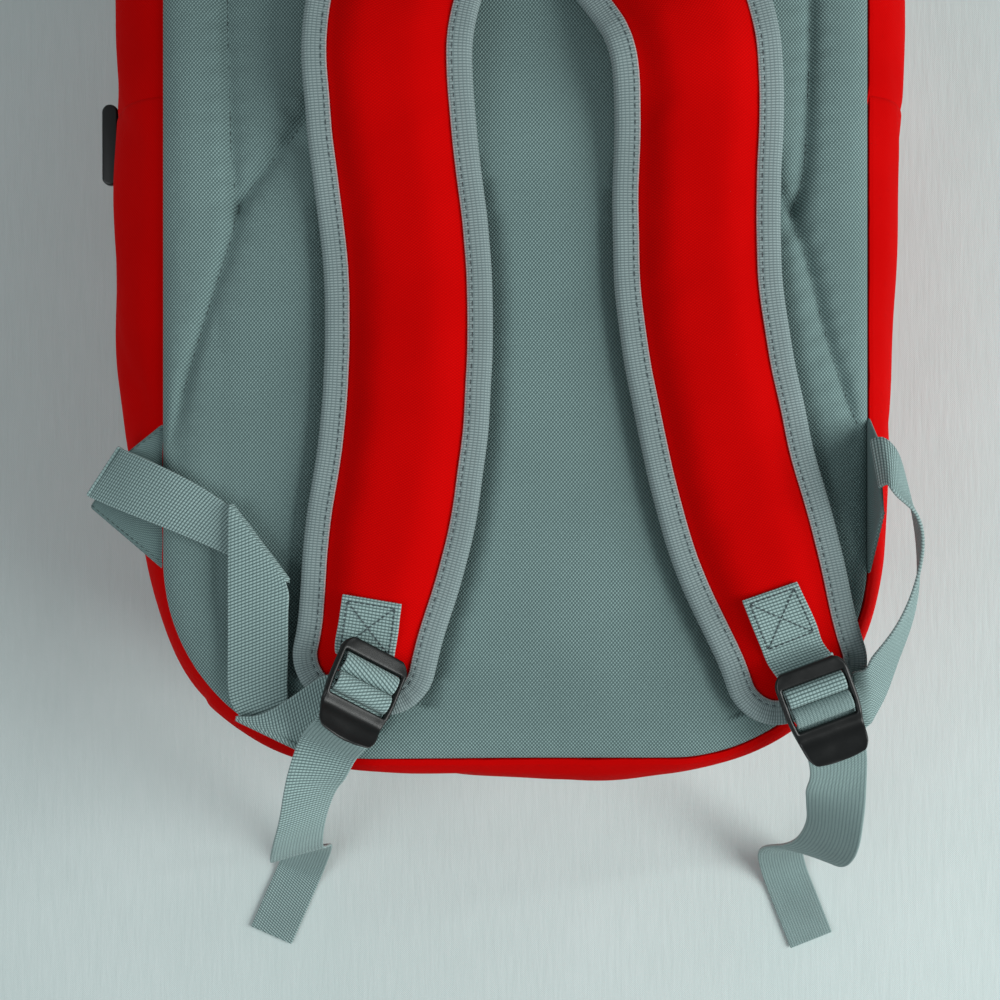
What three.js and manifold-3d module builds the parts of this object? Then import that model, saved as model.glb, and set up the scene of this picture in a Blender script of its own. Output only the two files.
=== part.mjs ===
// A baseball bat backpack, lying on its front with the harness side up.
// Millimetres. X runs across the bag, Y towards its top, Z away from the surface it lies on.
// The origin is the middle of the front panel's flat face.
import * as THREE from 'three';
import Module from 'manifold-3d';
import { mergeVertices } from 'three/addons/utils/BufferGeometryUtils.js';

const wasm = await Module();
wasm.setup();

// Main body
const panelWidth = 297;
const panelHeight = 415;
const bagDepth = 195;
const flareLeft = 33;
const flareRight = 23;
const flareBase = 16;
const flareTop = 16;
const cornerBase = 85;
const cornerTop = 74;
const topArch = 10;
const clothWall = 2;
const frontThick = 2.4;
const seamGap = 0.4;

// Padded back panel
const panelFoam = 8;
const panelCrown = 6;
const panelRim = 9;
const seamChannel = 3;

// Zipper and its pull
const zipEndHeight = 76;
const tapeThick = 1.2;
const coilWidth = 4.5;
const coilThick = 1.6;
const sliderLength = 11;
const sliderWidth = 9;
const pullLength = 38;
const pullWidth = 7.5;
const pullThick = 4;

// Bat sleeves
const sleeveLength = 155;
const sleeveBulge = 15;
const sleeveWall = 1.6;

// Shoulder straps
const strapWidth = 67;
const strapThick = 13;
const strapBelly = 3.5;
const strapEdge = 4.4;
const strapHump = 13;
const strapTipWidth = 57;
const tipRound = 20;
const bindingWidth = 9;
const bindingThick = 1.1;

// Webbing and buckles
const webWidth = 25;
const webThick = 1.4;
const foldRadius = 2.5;
const barRadius = 1.5;
const buckleWidth = 32.4;
const buckleTop = 20;
const buckleTopBar = 6;
const buckleLip = 14;
const buckleWindowFoot = -6;
const buckleRail = 2.9;
const buckleThick = 3.6;
const barSpacing = 8;
const wingThick = 2;
const tailOnFloor = 36;
const hemFold = 12;

// Yoke and grab handle
const yokeReach = 97;
const yokeDrop = 44.5;
const handleSpan = 66;
const handleRise = 27;
const handleWidth = 22;
const handleFootLength = 12;

const halfWidth = panelWidth / 2;
const halfHeight = panelHeight / 2;
const vec = (x, y, z) => new THREE.Vector3(x, y, z);
const radians = THREE.MathUtils.degToRad;

const red = new THREE.MeshStandardMaterial({ color: 0xc01012, roughness: 0.85, metalness: 0 });
const grey = new THREE.MeshStandardMaterial({ color: 0x6f8a89, roughness: 0.9, metalness: 0 });
const webbing = new THREE.MeshStandardMaterial({ color: 0x829a99, roughness: 0.8, metalness: 0 });
const black = new THREE.MeshStandardMaterial({ color: 0x101112, roughness: 0.4, metalness: 0 });
const tape = new THREE.MeshStandardMaterial({ color: 0x17181a, roughness: 0.9, metalness: 0 });

// Builders shared by all pieces.
// A section is a pair of equally long lines of points: one face of a wall and the face behind it.
function loft(sections) {
  const count = sections[0].outer.length;
  const ring = 2 * count;
  const positions = [];
  const index = [];
  for (const section of sections) {
    for (const point of [...section.outer, ...[...section.inner].reverse()]) positions.push(...point.toArray());
  }
  const quad = (a, b, c, d) => index.push(a, b, c, a, c, d);
  // Both faces are split along the same diagonals, so that a twisted piece keeps its thickness.
  for (let i = 0; i + 1 < sections.length; i++) {
    for (let j = 0; j < ring; j++) {
      const next = (j + 1) % ring;
      const corners = [i * ring + j, i * ring + next, (i + 1) * ring + next, (i + 1) * ring + j];
      if (j >= count) corners.push(corners.shift());
      quad(...corners);
    }
  }
  const last = (sections.length - 1) * ring;
  for (let j = 0; j + 1 < count; j++) {
    quad(j, ring - 1 - j, ring - 2 - j, j + 1);
    quad(last + j, last + j + 1, last + ring - 2 - j, last + ring - 1 - j);
  }
  return facingOut(geometryOf(positions, index));
}

function geometryOf(positions, index) {
  const geometry = new THREE.BufferGeometry();
  geometry.setAttribute('position', new THREE.Float32BufferAttribute(positions, 3));
  geometry.setIndex(index);
  return geometry;
}

function facingOut(geometry) {
  const p = geometry.getAttribute('position');
  const index = geometry.index.array;
  const corner = (i) => vec().fromBufferAttribute(p, index[i]);
  let volume = 0;
  for (let i = 0; i < index.length; i += 3) volume += corner(i).dot(corner(i + 1).cross(corner(i + 2)));
  if (volume < 0) {
    for (let i = 0; i < index.length; i += 3) [index[i + 1], index[i + 2]] = [index[i + 2], index[i + 1]];
  }
  geometry.computeVertexNormals();
  return geometry;
}

function solidOf(geometry) {
  const bare = geometry.clone();
  bare.deleteAttribute('normal');
  bare.deleteAttribute('uv');
  const merged = mergeVertices(bare, 1e-4);
  return new wasm.Manifold(new wasm.Mesh({
    numProp: 3,
    vertProperties: new Float32Array(merged.getAttribute('position').array),
    triVerts: new Uint32Array(merged.index.array),
  }));
}

function geometryFrom(solid) {
  const mesh = solid.getMesh();
  return facingOut(geometryOf(Array.from(mesh.vertProperties), Array.from(mesh.triVerts)));
}

const bag = new THREE.Group();
function addPiece(name, geometry, material, parent = bag) {
  const mesh = new THREE.Mesh(geometry, material);
  mesh.name = name;
  parent.add(mesh);
  return mesh;
}

// The back panel's outline: p counts its eight stretches, anticlockwise from the foot of the right side.
const stretches = [
  { side: true, from: [halfWidth, -halfHeight + cornerBase], to: [halfWidth, halfHeight - cornerTop], normal: 0 },
  { centre: [halfWidth - cornerTop, halfHeight - cornerTop], radius: cornerTop, start: 0 },
  { side: true, from: [halfWidth - cornerTop, halfHeight], to: [-halfWidth + cornerTop, halfHeight], normal: 90 },
  { centre: [-halfWidth + cornerTop, halfHeight - cornerTop], radius: cornerTop, start: 90 },
  { side: true, from: [-halfWidth, halfHeight - cornerTop], to: [-halfWidth, -halfHeight + cornerBase], normal: 180 },
  { centre: [-halfWidth + cornerBase, -halfHeight + cornerBase], radius: cornerBase, start: 180 },
  { side: true, from: [-halfWidth + cornerBase, -halfHeight], to: [halfWidth - cornerBase, -halfHeight], normal: 270 },
  { centre: [halfWidth - cornerBase, -halfHeight + cornerBase], radius: cornerBase, start: 270 },
];

// The arch lifts the whole top end, most at the middle.
const archAt = (x, y) => (y > 0 ? topArch * (y / halfHeight) ** 4 * (1 - (x / halfWidth) ** 2) : 0);

function outlineAt(p) {
  const stretch = stretches[Math.floor(p) % stretches.length];
  const share = p - Math.floor(p);
  const angle = radians(stretch.side ? stretch.normal : stretch.start + 90 * share);
  const nx = Math.cos(angle);
  const ny = Math.sin(angle);
  const x = stretch.side
    ? THREE.MathUtils.lerp(stretch.from[0], stretch.to[0], share)
    : stretch.centre[0] + stretch.radius * nx;
  const y = stretch.side
    ? THREE.MathUtils.lerp(stretch.from[1], stretch.to[1], share)
    : stretch.centre[1] + stretch.radius * ny;
  return { x, y: y + archAt(x, y), nx, ny, p };
}

// How far the belly stands out past the back panel round the outline: the sides draw in towards the base.
const flareRows = [
  { p: 0, flare: 0.45 * flareRight },
  { p: 0.1, flare: 0.56 * flareRight },
  { p: 0.24, flare: 0.67 * flareRight },
  { p: 0.31, flare: 0.73 * flareRight },
  { p: 0.39, flare: 0.78 * flareRight },
  { p: 0.46, flare: 0.82 * flareRight },
  { p: 0.53, flare: 0.85 * flareRight },
  { p: 0.6, flare: 0.87 * flareRight },
  { p: 0.67, flare: 0.92 * flareRight },
  { p: 1, flare: flareRight },
  { p: 1.5, flare: (flareRight + flareTop) / 2 },
  { p: 2, flare: flareTop },
  { p: 3, flare: flareTop },
  { p: 3.5, flare: (flareLeft + flareTop) / 2 },
  { p: 4, flare: 0.93 * flareLeft },
  { p: 4.33, flare: 0.96 * flareLeft },
  { p: 4.54, flare: 0.99 * flareLeft },
  { p: 4.69, flare: 0.94 * flareLeft },
  { p: 4.77, flare: 0.85 * flareLeft },
  { p: 4.86, flare: 0.67 * flareLeft },
  { p: 4.96, flare: 0.51 * flareLeft },
  { p: 5.07, flare: 0.37 * flareLeft },
  { p: 5.19, flare: 0.3 * flareLeft },
  { p: 5.25, flare: 0.3 * flareLeft },
  { p: 5.37, flare: 0.36 * flareLeft },
  { p: 5.46, flare: 0.33 * flareLeft },
  { p: 5.54, flare: 0.25 * flareLeft },
  { p: 5.72, flare: 0.49 * flareBase },
  { p: 5.91, flare: 0.31 * flareBase },
  { p: 6.07, flare: 0.38 * flareBase },
  { p: 6.25, flare: 0.43 * flareBase },
  { p: 6.44, flare: 0.55 * flareBase },
  { p: 6.66, flare: 0.71 * flareBase },
  { p: 6.8, flare: 0.78 * flareBase },
  { p: 6.95, flare: 0.64 * flareBase },
  { p: 7.08, flare: 0.45 * flareBase },
  { p: 7.2, flare: 0.36 * flareBase },
  { p: 7.26, flare: 0.36 * flareBase },
  { p: 7.38, flare: 0.5 * flareBase },
  { p: 7.75, flare: 0.56 * flareBase },
  { p: 7.93, flare: 0.4 * flareRight },
  { p: 8, flare: 0.45 * flareRight },
];
function flareAt({ p }) {
  const place = p % 8;
  const next = flareRows.findIndex((row) => row.p > place);
  const [before, after] = [flareRows[next - 1], flareRows[next]];
  const share = (place - before.p) / (after.p - before.p);
  return THREE.MathUtils.lerp(before.flare, after.flare, share);
}

// The wall from the back seam, at the top as it lies, down to the front seam:
// height is a share of the depth, reach a share of the flare.
const wallProfile = [
  { name: 'backSeam', height: 1.0, reach: 0.0 },
  { name: 'backRoll', height: 0.965, reach: 0.42 },
  { name: 'upperWall', height: 0.89, reach: 0.82 },
  { name: 'belly', height: 0.77, reach: 1.0 },
  { name: 'zipTop', height: 0.7, reach: 1.0 },
  { name: 'zipFoot', height: 0.64, reach: 0.985 },
  { name: 'midWall', height: 0.45, reach: 0.93 },
  { name: 'lowerWall', height: 0.24, reach: 0.84 },
  { name: 'frontRoll', height: 0.08, reach: 0.62 },
  { name: 'frontSeam', height: (frontThick + seamGap) / bagDepth, reach: 0.34 },
];
const rowOf = (name) => wallProfile.findIndex((row) => row.name === name);

// Soft folds in the cloth: where they lie, how wide they are and how deep they press in.
// p and height are places, long and wide are spans of p and height, slant tilts the fold.
const wallFolds = [
  { p: 4.32, height: 0.9, long: 0.16, wide: 0.07, slant: 0.45, depth: 0.16 },
  { p: 4.62, height: 0.88, long: 0.18, wide: 0.07, slant: 0.5, depth: 0.14 },
  { p: 0.55, height: 0.5, long: 0.2, wide: 0.1, slant: -0.4, depth: 0.14 },
  { p: 6.5, height: 0.55, long: 0.3, wide: 0.12, slant: 0.1, depth: 0.18 },
  { p: 4.5, height: 0.3, long: 0.3, wide: 0.1, slant: 0.2, depth: 0.1 },
  { p: 2.5, height: 0.4, long: 0.3, wide: 0.12, slant: 0.1, depth: 0.16 },
];

function foldAt(p, height) {
  let pressed = 0;
  for (const fold of wallFolds) {
    const along = (p - fold.p) / fold.long;
    const across = (height - fold.height - fold.slant * (p - fold.p)) / fold.wide;
    pressed += fold.depth * Math.exp(-along * along - across * across);
  }
  return pressed;
}

// One wall section at p, from one row of the profile to another, inset by a distance.
function wallSection(p, fromRow, toRow, thick, inset = 0) {
  const base = outlineAt(p);
  const flare = flareAt(base);
  const rows = wallProfile.slice(fromRow, toRow + 1);
  const line = rows.map((row) => {
    const pressed = row.height < 1 && row.height > 0.05 ? foldAt(p, row.height) : 0;
    return [clothWall + seamGap - inset + flare * row.reach - flareBase * pressed, bagDepth * row.height];
  });
  const place = ([out, z]) => vec(base.x + base.nx * out, base.y + base.ny * out, z);
  const behind = line.map((point, i) => {
    const before = line[Math.max(0, i - 1)];
    const after = line[Math.min(line.length - 1, i + 1)];
    const length = Math.hypot(after[0] - before[0], after[1] - before[1]);
    return [
      point[0] + (thick * (after[1] - before[1])) / length,
      point[1] - (thick * (after[0] - before[0])) / length,
    ];
  });
  // The wall stops square at the front seam, so that nothing reaches the panel below.
  behind[behind.length - 1][1] = Math.max(behind[behind.length - 1][1], line[line.length - 1][1]);
  return { outer: line.map(place), inner: behind.map(place) };
}

function spread(from, to, perStretch) {
  const steps = [];
  for (let p = from; p < to - 1e-6; p = Math.min(to, Math.floor(p + 1e-6) + nextShare(p, perStretch))) steps.push(p);
  return [...steps, to];
}

function nextShare(p, perStretch) {
  const share = p - Math.floor(p + 1e-6);
  return (Math.floor(share * perStretch + 1e-6) + 1) / perStretch;
}

const sideLength = panelHeight - cornerBase - cornerTop;
const zipShare = (zipEndHeight + halfHeight - cornerBase) / sideLength;
const seamShare = seamGap / sideLength;
const perStretch = 7;

// Body panels
const upperRun = spread(zipShare, 5 - zipShare, perStretch);
addPiece('gusset_rear', loft(upperRun.map((p) => wallSection(p, rowOf('backSeam'), rowOf('zipTop'), clothWall))), red);
addPiece('gusset_front', loft(upperRun.map((p) => wallSection(p, rowOf('zipFoot'), rowOf('frontSeam'), clothWall))), red);
const lowerRun = spread(5 - zipShare + seamShare, 8 + zipShare - seamShare, perStretch);
addPiece('gusset_lower', loft(lowerRun.map((p) => wallSection(p, rowOf('backSeam'), rowOf('frontSeam'), clothWall))), red);

const frontRow = wallProfile[rowOf('frontSeam')];
const frontOutline = spread(0, 8, perStretch).slice(0, -1).map((p) => {
  const base = outlineAt(p);
  const out = clothWall + seamGap + flareAt(base) * frontRow.reach;
  return new THREE.Vector2(base.x + base.nx * out, base.y + base.ny * out);
});
addPiece(
  'front_panel',
  new THREE.ExtrudeGeometry(new THREE.Shape(frontOutline), { depth: frontThick, bevelEnabled: false }),
  red,
);

// The quilting seams of the back panel: along is a share of the half height, outer and inner of the half width.
// Below the fork the two run as one.
const quiltSeams = [
  { along: -1.0, outer: 0.975, inner: 0.975 },
  { along: -0.357, outer: 0.975, inner: 0.975 },
  { along: -0.27, outer: 0.955, inner: 0.955 },
  { along: -0.18, outer: 0.929, inner: 0.929 },
  { along: -0.089, outer: 0.891, inner: 0.891 },
  { along: 0.0, outer: 0.857, inner: 0.857 },
  { along: 0.07, outer: 0.834, inner: 0.834 },
  { along: 0.121, outer: 0.81, inner: 0.808 },
  { along: 0.193, outer: 0.82, inner: 0.727 },
  { along: 0.302, outer: 0.827, inner: 0.62 },
  { along: 0.48, outer: 0.835, inner: 0.47 },
  { along: 0.8, outer: 0.84, inner: 0.36 },
  { along: 1.0, outer: 0.84, inner: 0.34 },
];

function seamsAt(along) {
  const upper = quiltSeams.findIndex((row, i) => i > 0 && along <= row.along + 1e-6);
  const before = quiltSeams[upper - 1];
  const after = quiltSeams[upper];
  const share = (along - before.along) / (after.along - before.along);
  return {
    outer: THREE.MathUtils.lerp(before.outer, after.outer, share),
    inner: THREE.MathUtils.lerp(before.inner, after.inner, share),
  };
}

// Half the panel's width at y, inside its rounded corners.
function halfWidthAt(y) {
  const corner = y > 0 ? cornerTop : cornerBase;
  const into = Math.max(0, Math.abs(y) - (halfHeight - corner));
  return halfWidth - corner + Math.sqrt(Math.max(0, corner * corner - into * into));
}

function panelSection(along) {
  const y = along * halfHeight;
  const half = halfWidthAt(y);
  const { outer, inner } = seamsAt(along);
  const narrow = half / halfWidth;
  const endShare = Math.min(1, (1 - Math.abs(along)) * halfHeight / (2.2 * panelRim));
  const fade = Math.sin(endShare * Math.PI / 2);
  const forked = THREE.MathUtils.smoothstep(outer - inner, 0.02, 0.2);
  const channel = seamChannel / halfWidth;
  const rim = narrow - panelRim / halfWidth;
  const outerSeam = Math.min(outer * narrow, rim - 2 * channel);
  const innerSeam = Math.min(inner * narrow, outerSeam - channel);
  // Columns from the edge to the middle: place across, and height as a share of the crown.
  const columns = [
    { across: narrow, rise: -0.35 },
    { across: narrow - 0.35 * panelRim / halfWidth, rise: 0.25 },
    { across: rim, rise: 0.72 },
    { across: Math.max((rim + outerSeam) / 2, outerSeam + 1.4 * channel), rise: 1.0 },
    { across: outerSeam + channel, rise: 0.82 },
    { across: outerSeam, rise: 0.1 },
    { across: (outerSeam + innerSeam) / 2, rise: THREE.MathUtils.lerp(0.1, 0.9, forked) },
    { across: innerSeam, rise: THREE.MathUtils.lerp(0.1, 0.15, forked) },
    { across: innerSeam - channel, rise: 0.62 },
    { across: (innerSeam - channel) * 0.55, rise: 0.92 },
  ];
  const points = [
    ...columns.map((c) => [-c.across, c.rise]),
    [0, 1.0],
    ...[...columns].reverse().map((c) => [c.across, c.rise]),
  ];
  const rise = (share) => panelCrown * Math.min(share, THREE.MathUtils.lerp(-0.35, share, fade));
  const top = points.map(([across, share]) => {
    const x = across * halfWidth;
    return vec(x, y + archAt(x, y), bagDepth + rise(share));
  });
  return { outer: top, inner: top.map((point) => vec(point.x, point.y, bagDepth - panelFoam)) };
}

const panelRows = [
  -1, -0.985, -0.95, -0.9, -0.82, -0.7, -0.5, -0.357, -0.27, -0.18, -0.089, 0, 0.07, 0.121, 0.193, 0.302,
  0.48, 0.64, 0.76, 0.86, 0.94, 0.98, 1,
];
addPiece('back_panel', loft(panelRows.map(panelSection)), grey);

// Zipper over the top, with its slider at the left end
const zipRun = spread(zipShare + 2 * seamShare, 5 - zipShare - 2 * seamShare, perStretch);
const zipTop = wallProfile[rowOf('zipTop')];
const zipFoot = wallProfile[rowOf('zipFoot')];
const zipMiddle = bagDepth * (zipTop.height + zipFoot.height) / 2;
function bandSection(p, width, thick, out) {
  const base = outlineAt(p);
  const reach = clothWall + seamGap + flareAt(base) * (zipTop.reach + zipFoot.reach) / 2
    - flareBase * foldAt(p, zipMiddle / bagDepth) + out;
  const place = (offset, z) => vec(base.x + base.nx * offset, base.y + base.ny * offset, z);
  return {
    outer: [place(reach, zipMiddle + width / 2), place(reach, zipMiddle - width / 2)],
    inner: [place(reach - thick, zipMiddle + width / 2), place(reach - thick, zipMiddle - width / 2)],
  };
}
const tapeWidth = bagDepth * (zipTop.height - zipFoot.height) - 2.5 * seamGap;
addPiece('zipper_tape', loft(zipRun.map((p) => bandSection(p, tapeWidth, tapeThick, -seamGap))), tape);
const coilOut = coilThick - seamGap + 0.3;
const coilRun = spread(zipShare + 3 * seamShare, 5 - zipShare - (sliderLength + 2) / sideLength, perStretch);
addPiece('zipper_coil', loft(coilRun.map((p) => bandSection(p, coilWidth, coilThick, coilOut))), tape);

const leftWall = outlineAt(5 - zipShare);
const sliderOut = clothWall + seamGap + flareAt(leftWall) * (zipTop.reach + zipFoot.reach) / 2
  - flareBase * foldAt(5 - zipShare, zipMiddle / bagDepth);
const sliderSpot = new THREE.Group();
sliderSpot.position.set(leftWall.x - sliderOut, zipEndHeight + sliderLength / 2 + 1, zipMiddle);
bag.add(sliderSpot);
const sliderThick = 5;
const slider = new THREE.BoxGeometry(sliderThick, sliderLength, sliderWidth);
slider.translate(-sliderThick / 2 - 0.2, 0, 0);
addPiece('zipper_slider', slider, black, sliderSpot);

// A flat moulded pull with round ends, hanging from the slider's bridge
const pullOutline = new THREE.Shape();
const pullHalf = pullWidth / 2;
pullOutline.absarc(0, -pullHalf, pullHalf, 0, Math.PI, false);
pullOutline.absarc(0, -pullLength + pullHalf, pullHalf, Math.PI, 2 * Math.PI, false);
const pull = new THREE.ExtrudeGeometry(pullOutline, { depth: pullThick, bevelEnabled: false, curveSegments: 6 });
pull.translate(0, 0, -pullThick / 2);
const pullMesh = addPiece('zipper_pull', pull, black, sliderSpot);
pullMesh.position.set(-sliderThick - 0.6 - pullHalf, sliderLength / 2, 0);

// Bat sleeves: a low arch of cloth on each side wall, open at the top and closed at the foot
const sleeveFoot = -halfHeight + cornerBase + 4;
const sleeveArch = [
  { height: 0.13, bulge: 0.0 },
  { height: 0.17, bulge: 0.55 },
  { height: 0.25, bulge: 0.9 },
  { height: 0.34, bulge: 1.0 },
  { height: 0.43, bulge: 0.9 },
  { height: 0.51, bulge: 0.55 },
  { height: 0.55, bulge: 0.0 },
];

// How far the bare side wall stands out at a height, between two rows of its profile.
function wallOutAt(p, height) {
  const foot = wallProfile.findIndex((row) => row.height <= height);
  const [upper, lower] = [wallProfile[foot - 1], wallProfile[foot]];
  const share = (height - lower.height) / (upper.height - lower.height);
  const base = outlineAt(p);
  const outOf = (row) => clothWall + seamGap + flareAt(base) * row.reach;
  return THREE.MathUtils.lerp(outOf(lower), outOf(upper), share);
}

const sideWallAt = (side, y) => {
  const share = (y + halfHeight - cornerBase) / sideLength;
  return side > 0 ? share : 5 - share;
};

function archLine(side, y, thickness) {
  const p = sideWallAt(side, y);
  return sleeveArch.map(({ height, bulge }) => vec(
    side * (halfWidth + wallOutAt(p, height) + sleeveClearance + sleeveBulge * bulge + thickness),
    y,
    bagDepth * height,
  ));
}
const sleeveClearance = 0.7;

const sleeveSteps = 9;
const sleeveRun = (foot, top) => Array.from({ length: sleeveSteps + 1 }, (_, i) => foot + ((top - foot) * i) / sleeveSteps);

function sleeveSolid(side, foot, top, thickness, backSet) {
  const ends = sleeveRun(foot, top).map((y) => {
    const outer = archLine(side, y, thickness);
    const behind = outer.map((point) => vec(side * (halfWidth + backSet), y, point.z));
    return { outer, inner: behind };
  });
  return solidOf(loft(ends));
}

function wallCutter(side, foot, top) {
  const ends = sleeveRun(foot, top).map((y) => ({
    outer: sleeveArch.map(({ height }) => vec(
      side * (halfWidth + wallOutAt(sideWallAt(side, y), height) + sleeveClearance),
      y,
      bagDepth * height,
    )),
    inner: sleeveArch.map(({ height }) => vec(side * halfWidth * 0.5, y, bagDepth * height)),
  }));
  return solidOf(loft(ends));
}

for (const [label, side] of [['left', -1], ['right', 1]]) {
  const top = sleeveFoot + sleeveLength;
  const whole = sleeveSolid(side, sleeveFoot, top, sleeveWall, -20);
  const hollow = sleeveSolid(side, sleeveFoot + sleeveWall, top + 1, 0, -21);
  const wall = wallCutter(side, sleeveFoot - 1, top + 2);
  addPiece(`bat_sleeve_${label}`, geometryFrom(whole.subtract(hollow).subtract(wall)), red);
}

// Shoulder straps: across and along are shares of the panel's half width and half height.
const strapRoutes = {
  left: [
    { across: -0.269, along: 0.819, rise: 0 },
    { across: -0.28, along: 0.71, rise: 0 },
    { across: -0.314, along: 0.62, rise: 0.34 },
    { across: -0.35, along: 0.52, rise: 0.85 },
    { across: -0.367, along: 0.42, rise: 0.9 },
    { across: -0.36, along: 0.3, rise: 0.4 },
    { across: -0.345, along: 0.19, rise: 0.1 },
    { across: -0.324, along: 0.07, rise: 0 },
    { across: -0.312, along: -0.05, rise: 0 },
    { across: -0.312, along: -0.169, rise: 0 },
    { across: -0.32, along: -0.289, rise: 0 },
    { across: -0.338, along: -0.409, rise: 0 },
    { across: -0.366, along: -0.528, rise: 0 },
    { across: -0.397, along: -0.648, rise: 0 },
    { across: -0.429, along: -0.768, rise: 0 },
    { across: -0.467, along: -0.887, rise: 0 },
  ],
  right: [
    { across: 0.276, along: 0.819, rise: 0 },
    { across: 0.294, along: 0.71, rise: 0 },
    { across: 0.364, along: 0.62, rise: 0.34 },
    { across: 0.445, along: 0.52, rise: 0.85 },
    { across: 0.488, along: 0.42, rise: 0.9 },
    { across: 0.503, along: 0.3, rise: 0.4 },
    { across: 0.501, along: 0.19, rise: 0.1 },
    { across: 0.501, along: 0.07, rise: 0 },
    { across: 0.508, along: -0.05, rise: 0 },
    { across: 0.531, along: -0.169, rise: 0 },
    { across: 0.564, along: -0.289, rise: 0 },
    { across: 0.601, along: -0.409, rise: 0 },
    { across: 0.648, along: -0.528, rise: 0 },
    { across: 0.704, along: -0.648, rise: 0 },
    { across: 0.762, along: -0.768, rise: 0 },
    { across: 0.822, along: -0.901, rise: 0 },
  ],
};
const strapMid = bagDepth + panelCrown + 1 + strapBelly;

function strapCurve(rows) {
  return new THREE.CatmullRomCurve3(rows.map(({ across, along, rise }) => vec(
    across * halfWidth,
    along * halfHeight,
    strapMid + strapHump * rise,
  )));
}

// Half the strap's width at a distance from its tip: slimmer low down, and round at the end
const tipHalf = strapTipWidth / 2;
function strapHalfAt(fromTip) {
  const slim = THREE.MathUtils.smoothstep(fromTip, tipRound, 4 * tipRound);
  const half = THREE.MathUtils.lerp(tipHalf, strapWidth / 2, slim);
  const into = Math.max(0, tipRound - fromTip);
  return half - tipRound + Math.sqrt(tipRound * tipRound - into * into);
}

function strapStations(curve) {
  const length = curve.getLength();
  const fromTip = [0, 18, 38, 62, 90].map((angle) => tipRound * (1 - Math.cos(radians(angle))));
  const steps = 19;
  for (let i = 1; i <= steps; i++) fromTip.push(tipRound + ((length - tipRound) * i) / steps);
  return fromTip.map((distance) => {
    const u = 1 - distance / length;
    const at = curve.getPointAt(Math.max(0, u));
    const along = curve.getTangentAt(Math.max(0, u));
    const across = vec(-along.y, along.x, 0).normalize();
    return { at, across, half: strapHalfAt(distance), fromTip: distance, length };
  });
}

// The padding swells inside the bound brim: inset from the strap's edge, and share of the full swell
const padSwell = [
  { inset: 0, swell: 0 },
  { inset: 1.1, swell: 0 },
  { inset: 1.45, swell: 0.5 },
  { inset: 2.3, swell: 0.88 },
];

function swellAt({ fromTip, length }) {
  const brim = 1.1 * bindingWidth;
  const fromTop = length - fromTip;
  const tip = THREE.MathUtils.smoothstep(fromTip, brim, 5 * brim);
  return tip * THREE.MathUtils.smoothstep(fromTop, 3 * brim, 6 * brim);
}

function padSectionAt(station) {
  const { at, across, half } = station;
  const swell = swellAt(station);
  const narrow = Math.min(1, half / (2.6 * bindingWidth));
  const side = padSwell.map((row) => [half - row.inset * bindingWidth * narrow, row.swell * swell]);
  const spots = [...side.map(([x, share]) => [-x, share]), [0, swell], ...side.reverse()];
  const place = ([x, share], low, high) => at.clone()
    .addScaledVector(across, x)
    .setZ(at.z + THREE.MathUtils.lerp(low, high, share));
  return {
    outer: spots.map((spot) => place(spot, strapEdge / 2, strapThick - strapBelly)),
    inner: spots.map((spot) => place(spot, -strapEdge / 2, -strapBelly)),
  };
}

// The tape folded over the strap's edge: out is the distance past the edge, up the height over the middle plane.
const bindingClear = 0.75;
const bindingShape = {
  outer: [
    { out: -bindingWidth, up: strapEdge / 2 + bindingClear + bindingThick },
    { out: bindingClear * 0.8, up: strapEdge / 2 + bindingClear + bindingThick * 0.8 },
    { out: bindingClear + bindingThick, up: 0 },
    { out: bindingClear * 0.8, up: -strapEdge / 2 - bindingClear - bindingThick * 0.8 },
    { out: -bindingWidth, up: -strapEdge / 2 - bindingClear - bindingThick },
  ],
  inner: [
    { out: -bindingWidth, up: strapEdge / 2 + bindingClear },
    { out: bindingClear * 0.7, up: strapEdge / 2 + bindingClear },
    { out: bindingClear, up: 0 },
    { out: bindingClear * 0.7, up: -strapEdge / 2 - bindingClear },
    { out: -bindingWidth, up: -strapEdge / 2 - bindingClear },
  ],
};

function bindingSections(stations) {
  const edge = (side) => stations.map((s) => s.at.clone().addScaledVector(s.across, side * s.half));
  const path = [...edge(1).reverse(), ...edge(-1)];
  return path.map((point, i) => {
    const before = point.clone().sub(path[Math.max(0, i - 1)]).setZ(0).normalize();
    const after = path[Math.min(path.length - 1, i + 1)].clone().sub(point).setZ(0).normalize();
    const along = before.clone().add(after).normalize();
    const mitre = 1 / Math.max(0.8, along.dot(after), along.dot(before));
    const out = vec(-along.y, along.x, 0).multiplyScalar(outwardSign(path) * mitre);
    const place = ({ out: distance, up }) => point.clone().addScaledVector(out, distance).add(vec(0, 0, up));
    return { outer: bindingShape.outer.map(place), inner: bindingShape.inner.map(place) };
  });
}

function outwardSign(path) {
  const [first, last] = [path[0], path[path.length - 1]];
  const along = path[1].clone().sub(first);
  return Math.sign(along.x * (last.y - first.y) - along.y * (last.x - first.x)) > 0 ? -1 : 1;
}

const straps = {};
for (const label of ['left', 'right']) {
  const curve = strapCurve(strapRoutes[label]);
  const stations = strapStations(curve);
  straps[label] = { curve, stations };
  addPiece(`strap_pad_${label}`, loft(stations.map(padSectionAt)), red);
  addPiece(`strap_binding_${label}`, loft(bindingSections(stations)), webbing);
}

// Webbing: a ruling is one line across the tape, from its edge a to its edge b.
function ribbon(rulings, thick = webThick) {
  const middle = rulings.map(({ a, b }) => a.clone().add(b).multiplyScalar(0.5));
  return loft(rulings.map(({ a, b }, i) => {
    const along = middle[Math.min(i + 1, middle.length - 1)].clone().sub(middle[Math.max(i - 1, 0)]);
    const up = along.cross(b.clone().sub(a)).normalize().multiplyScalar(thick / 2);
    return {
      outer: [a.clone().add(up), b.clone().add(up)],
      inner: [a.clone().sub(up), b.clone().sub(up)],
    };
  }));
}

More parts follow.
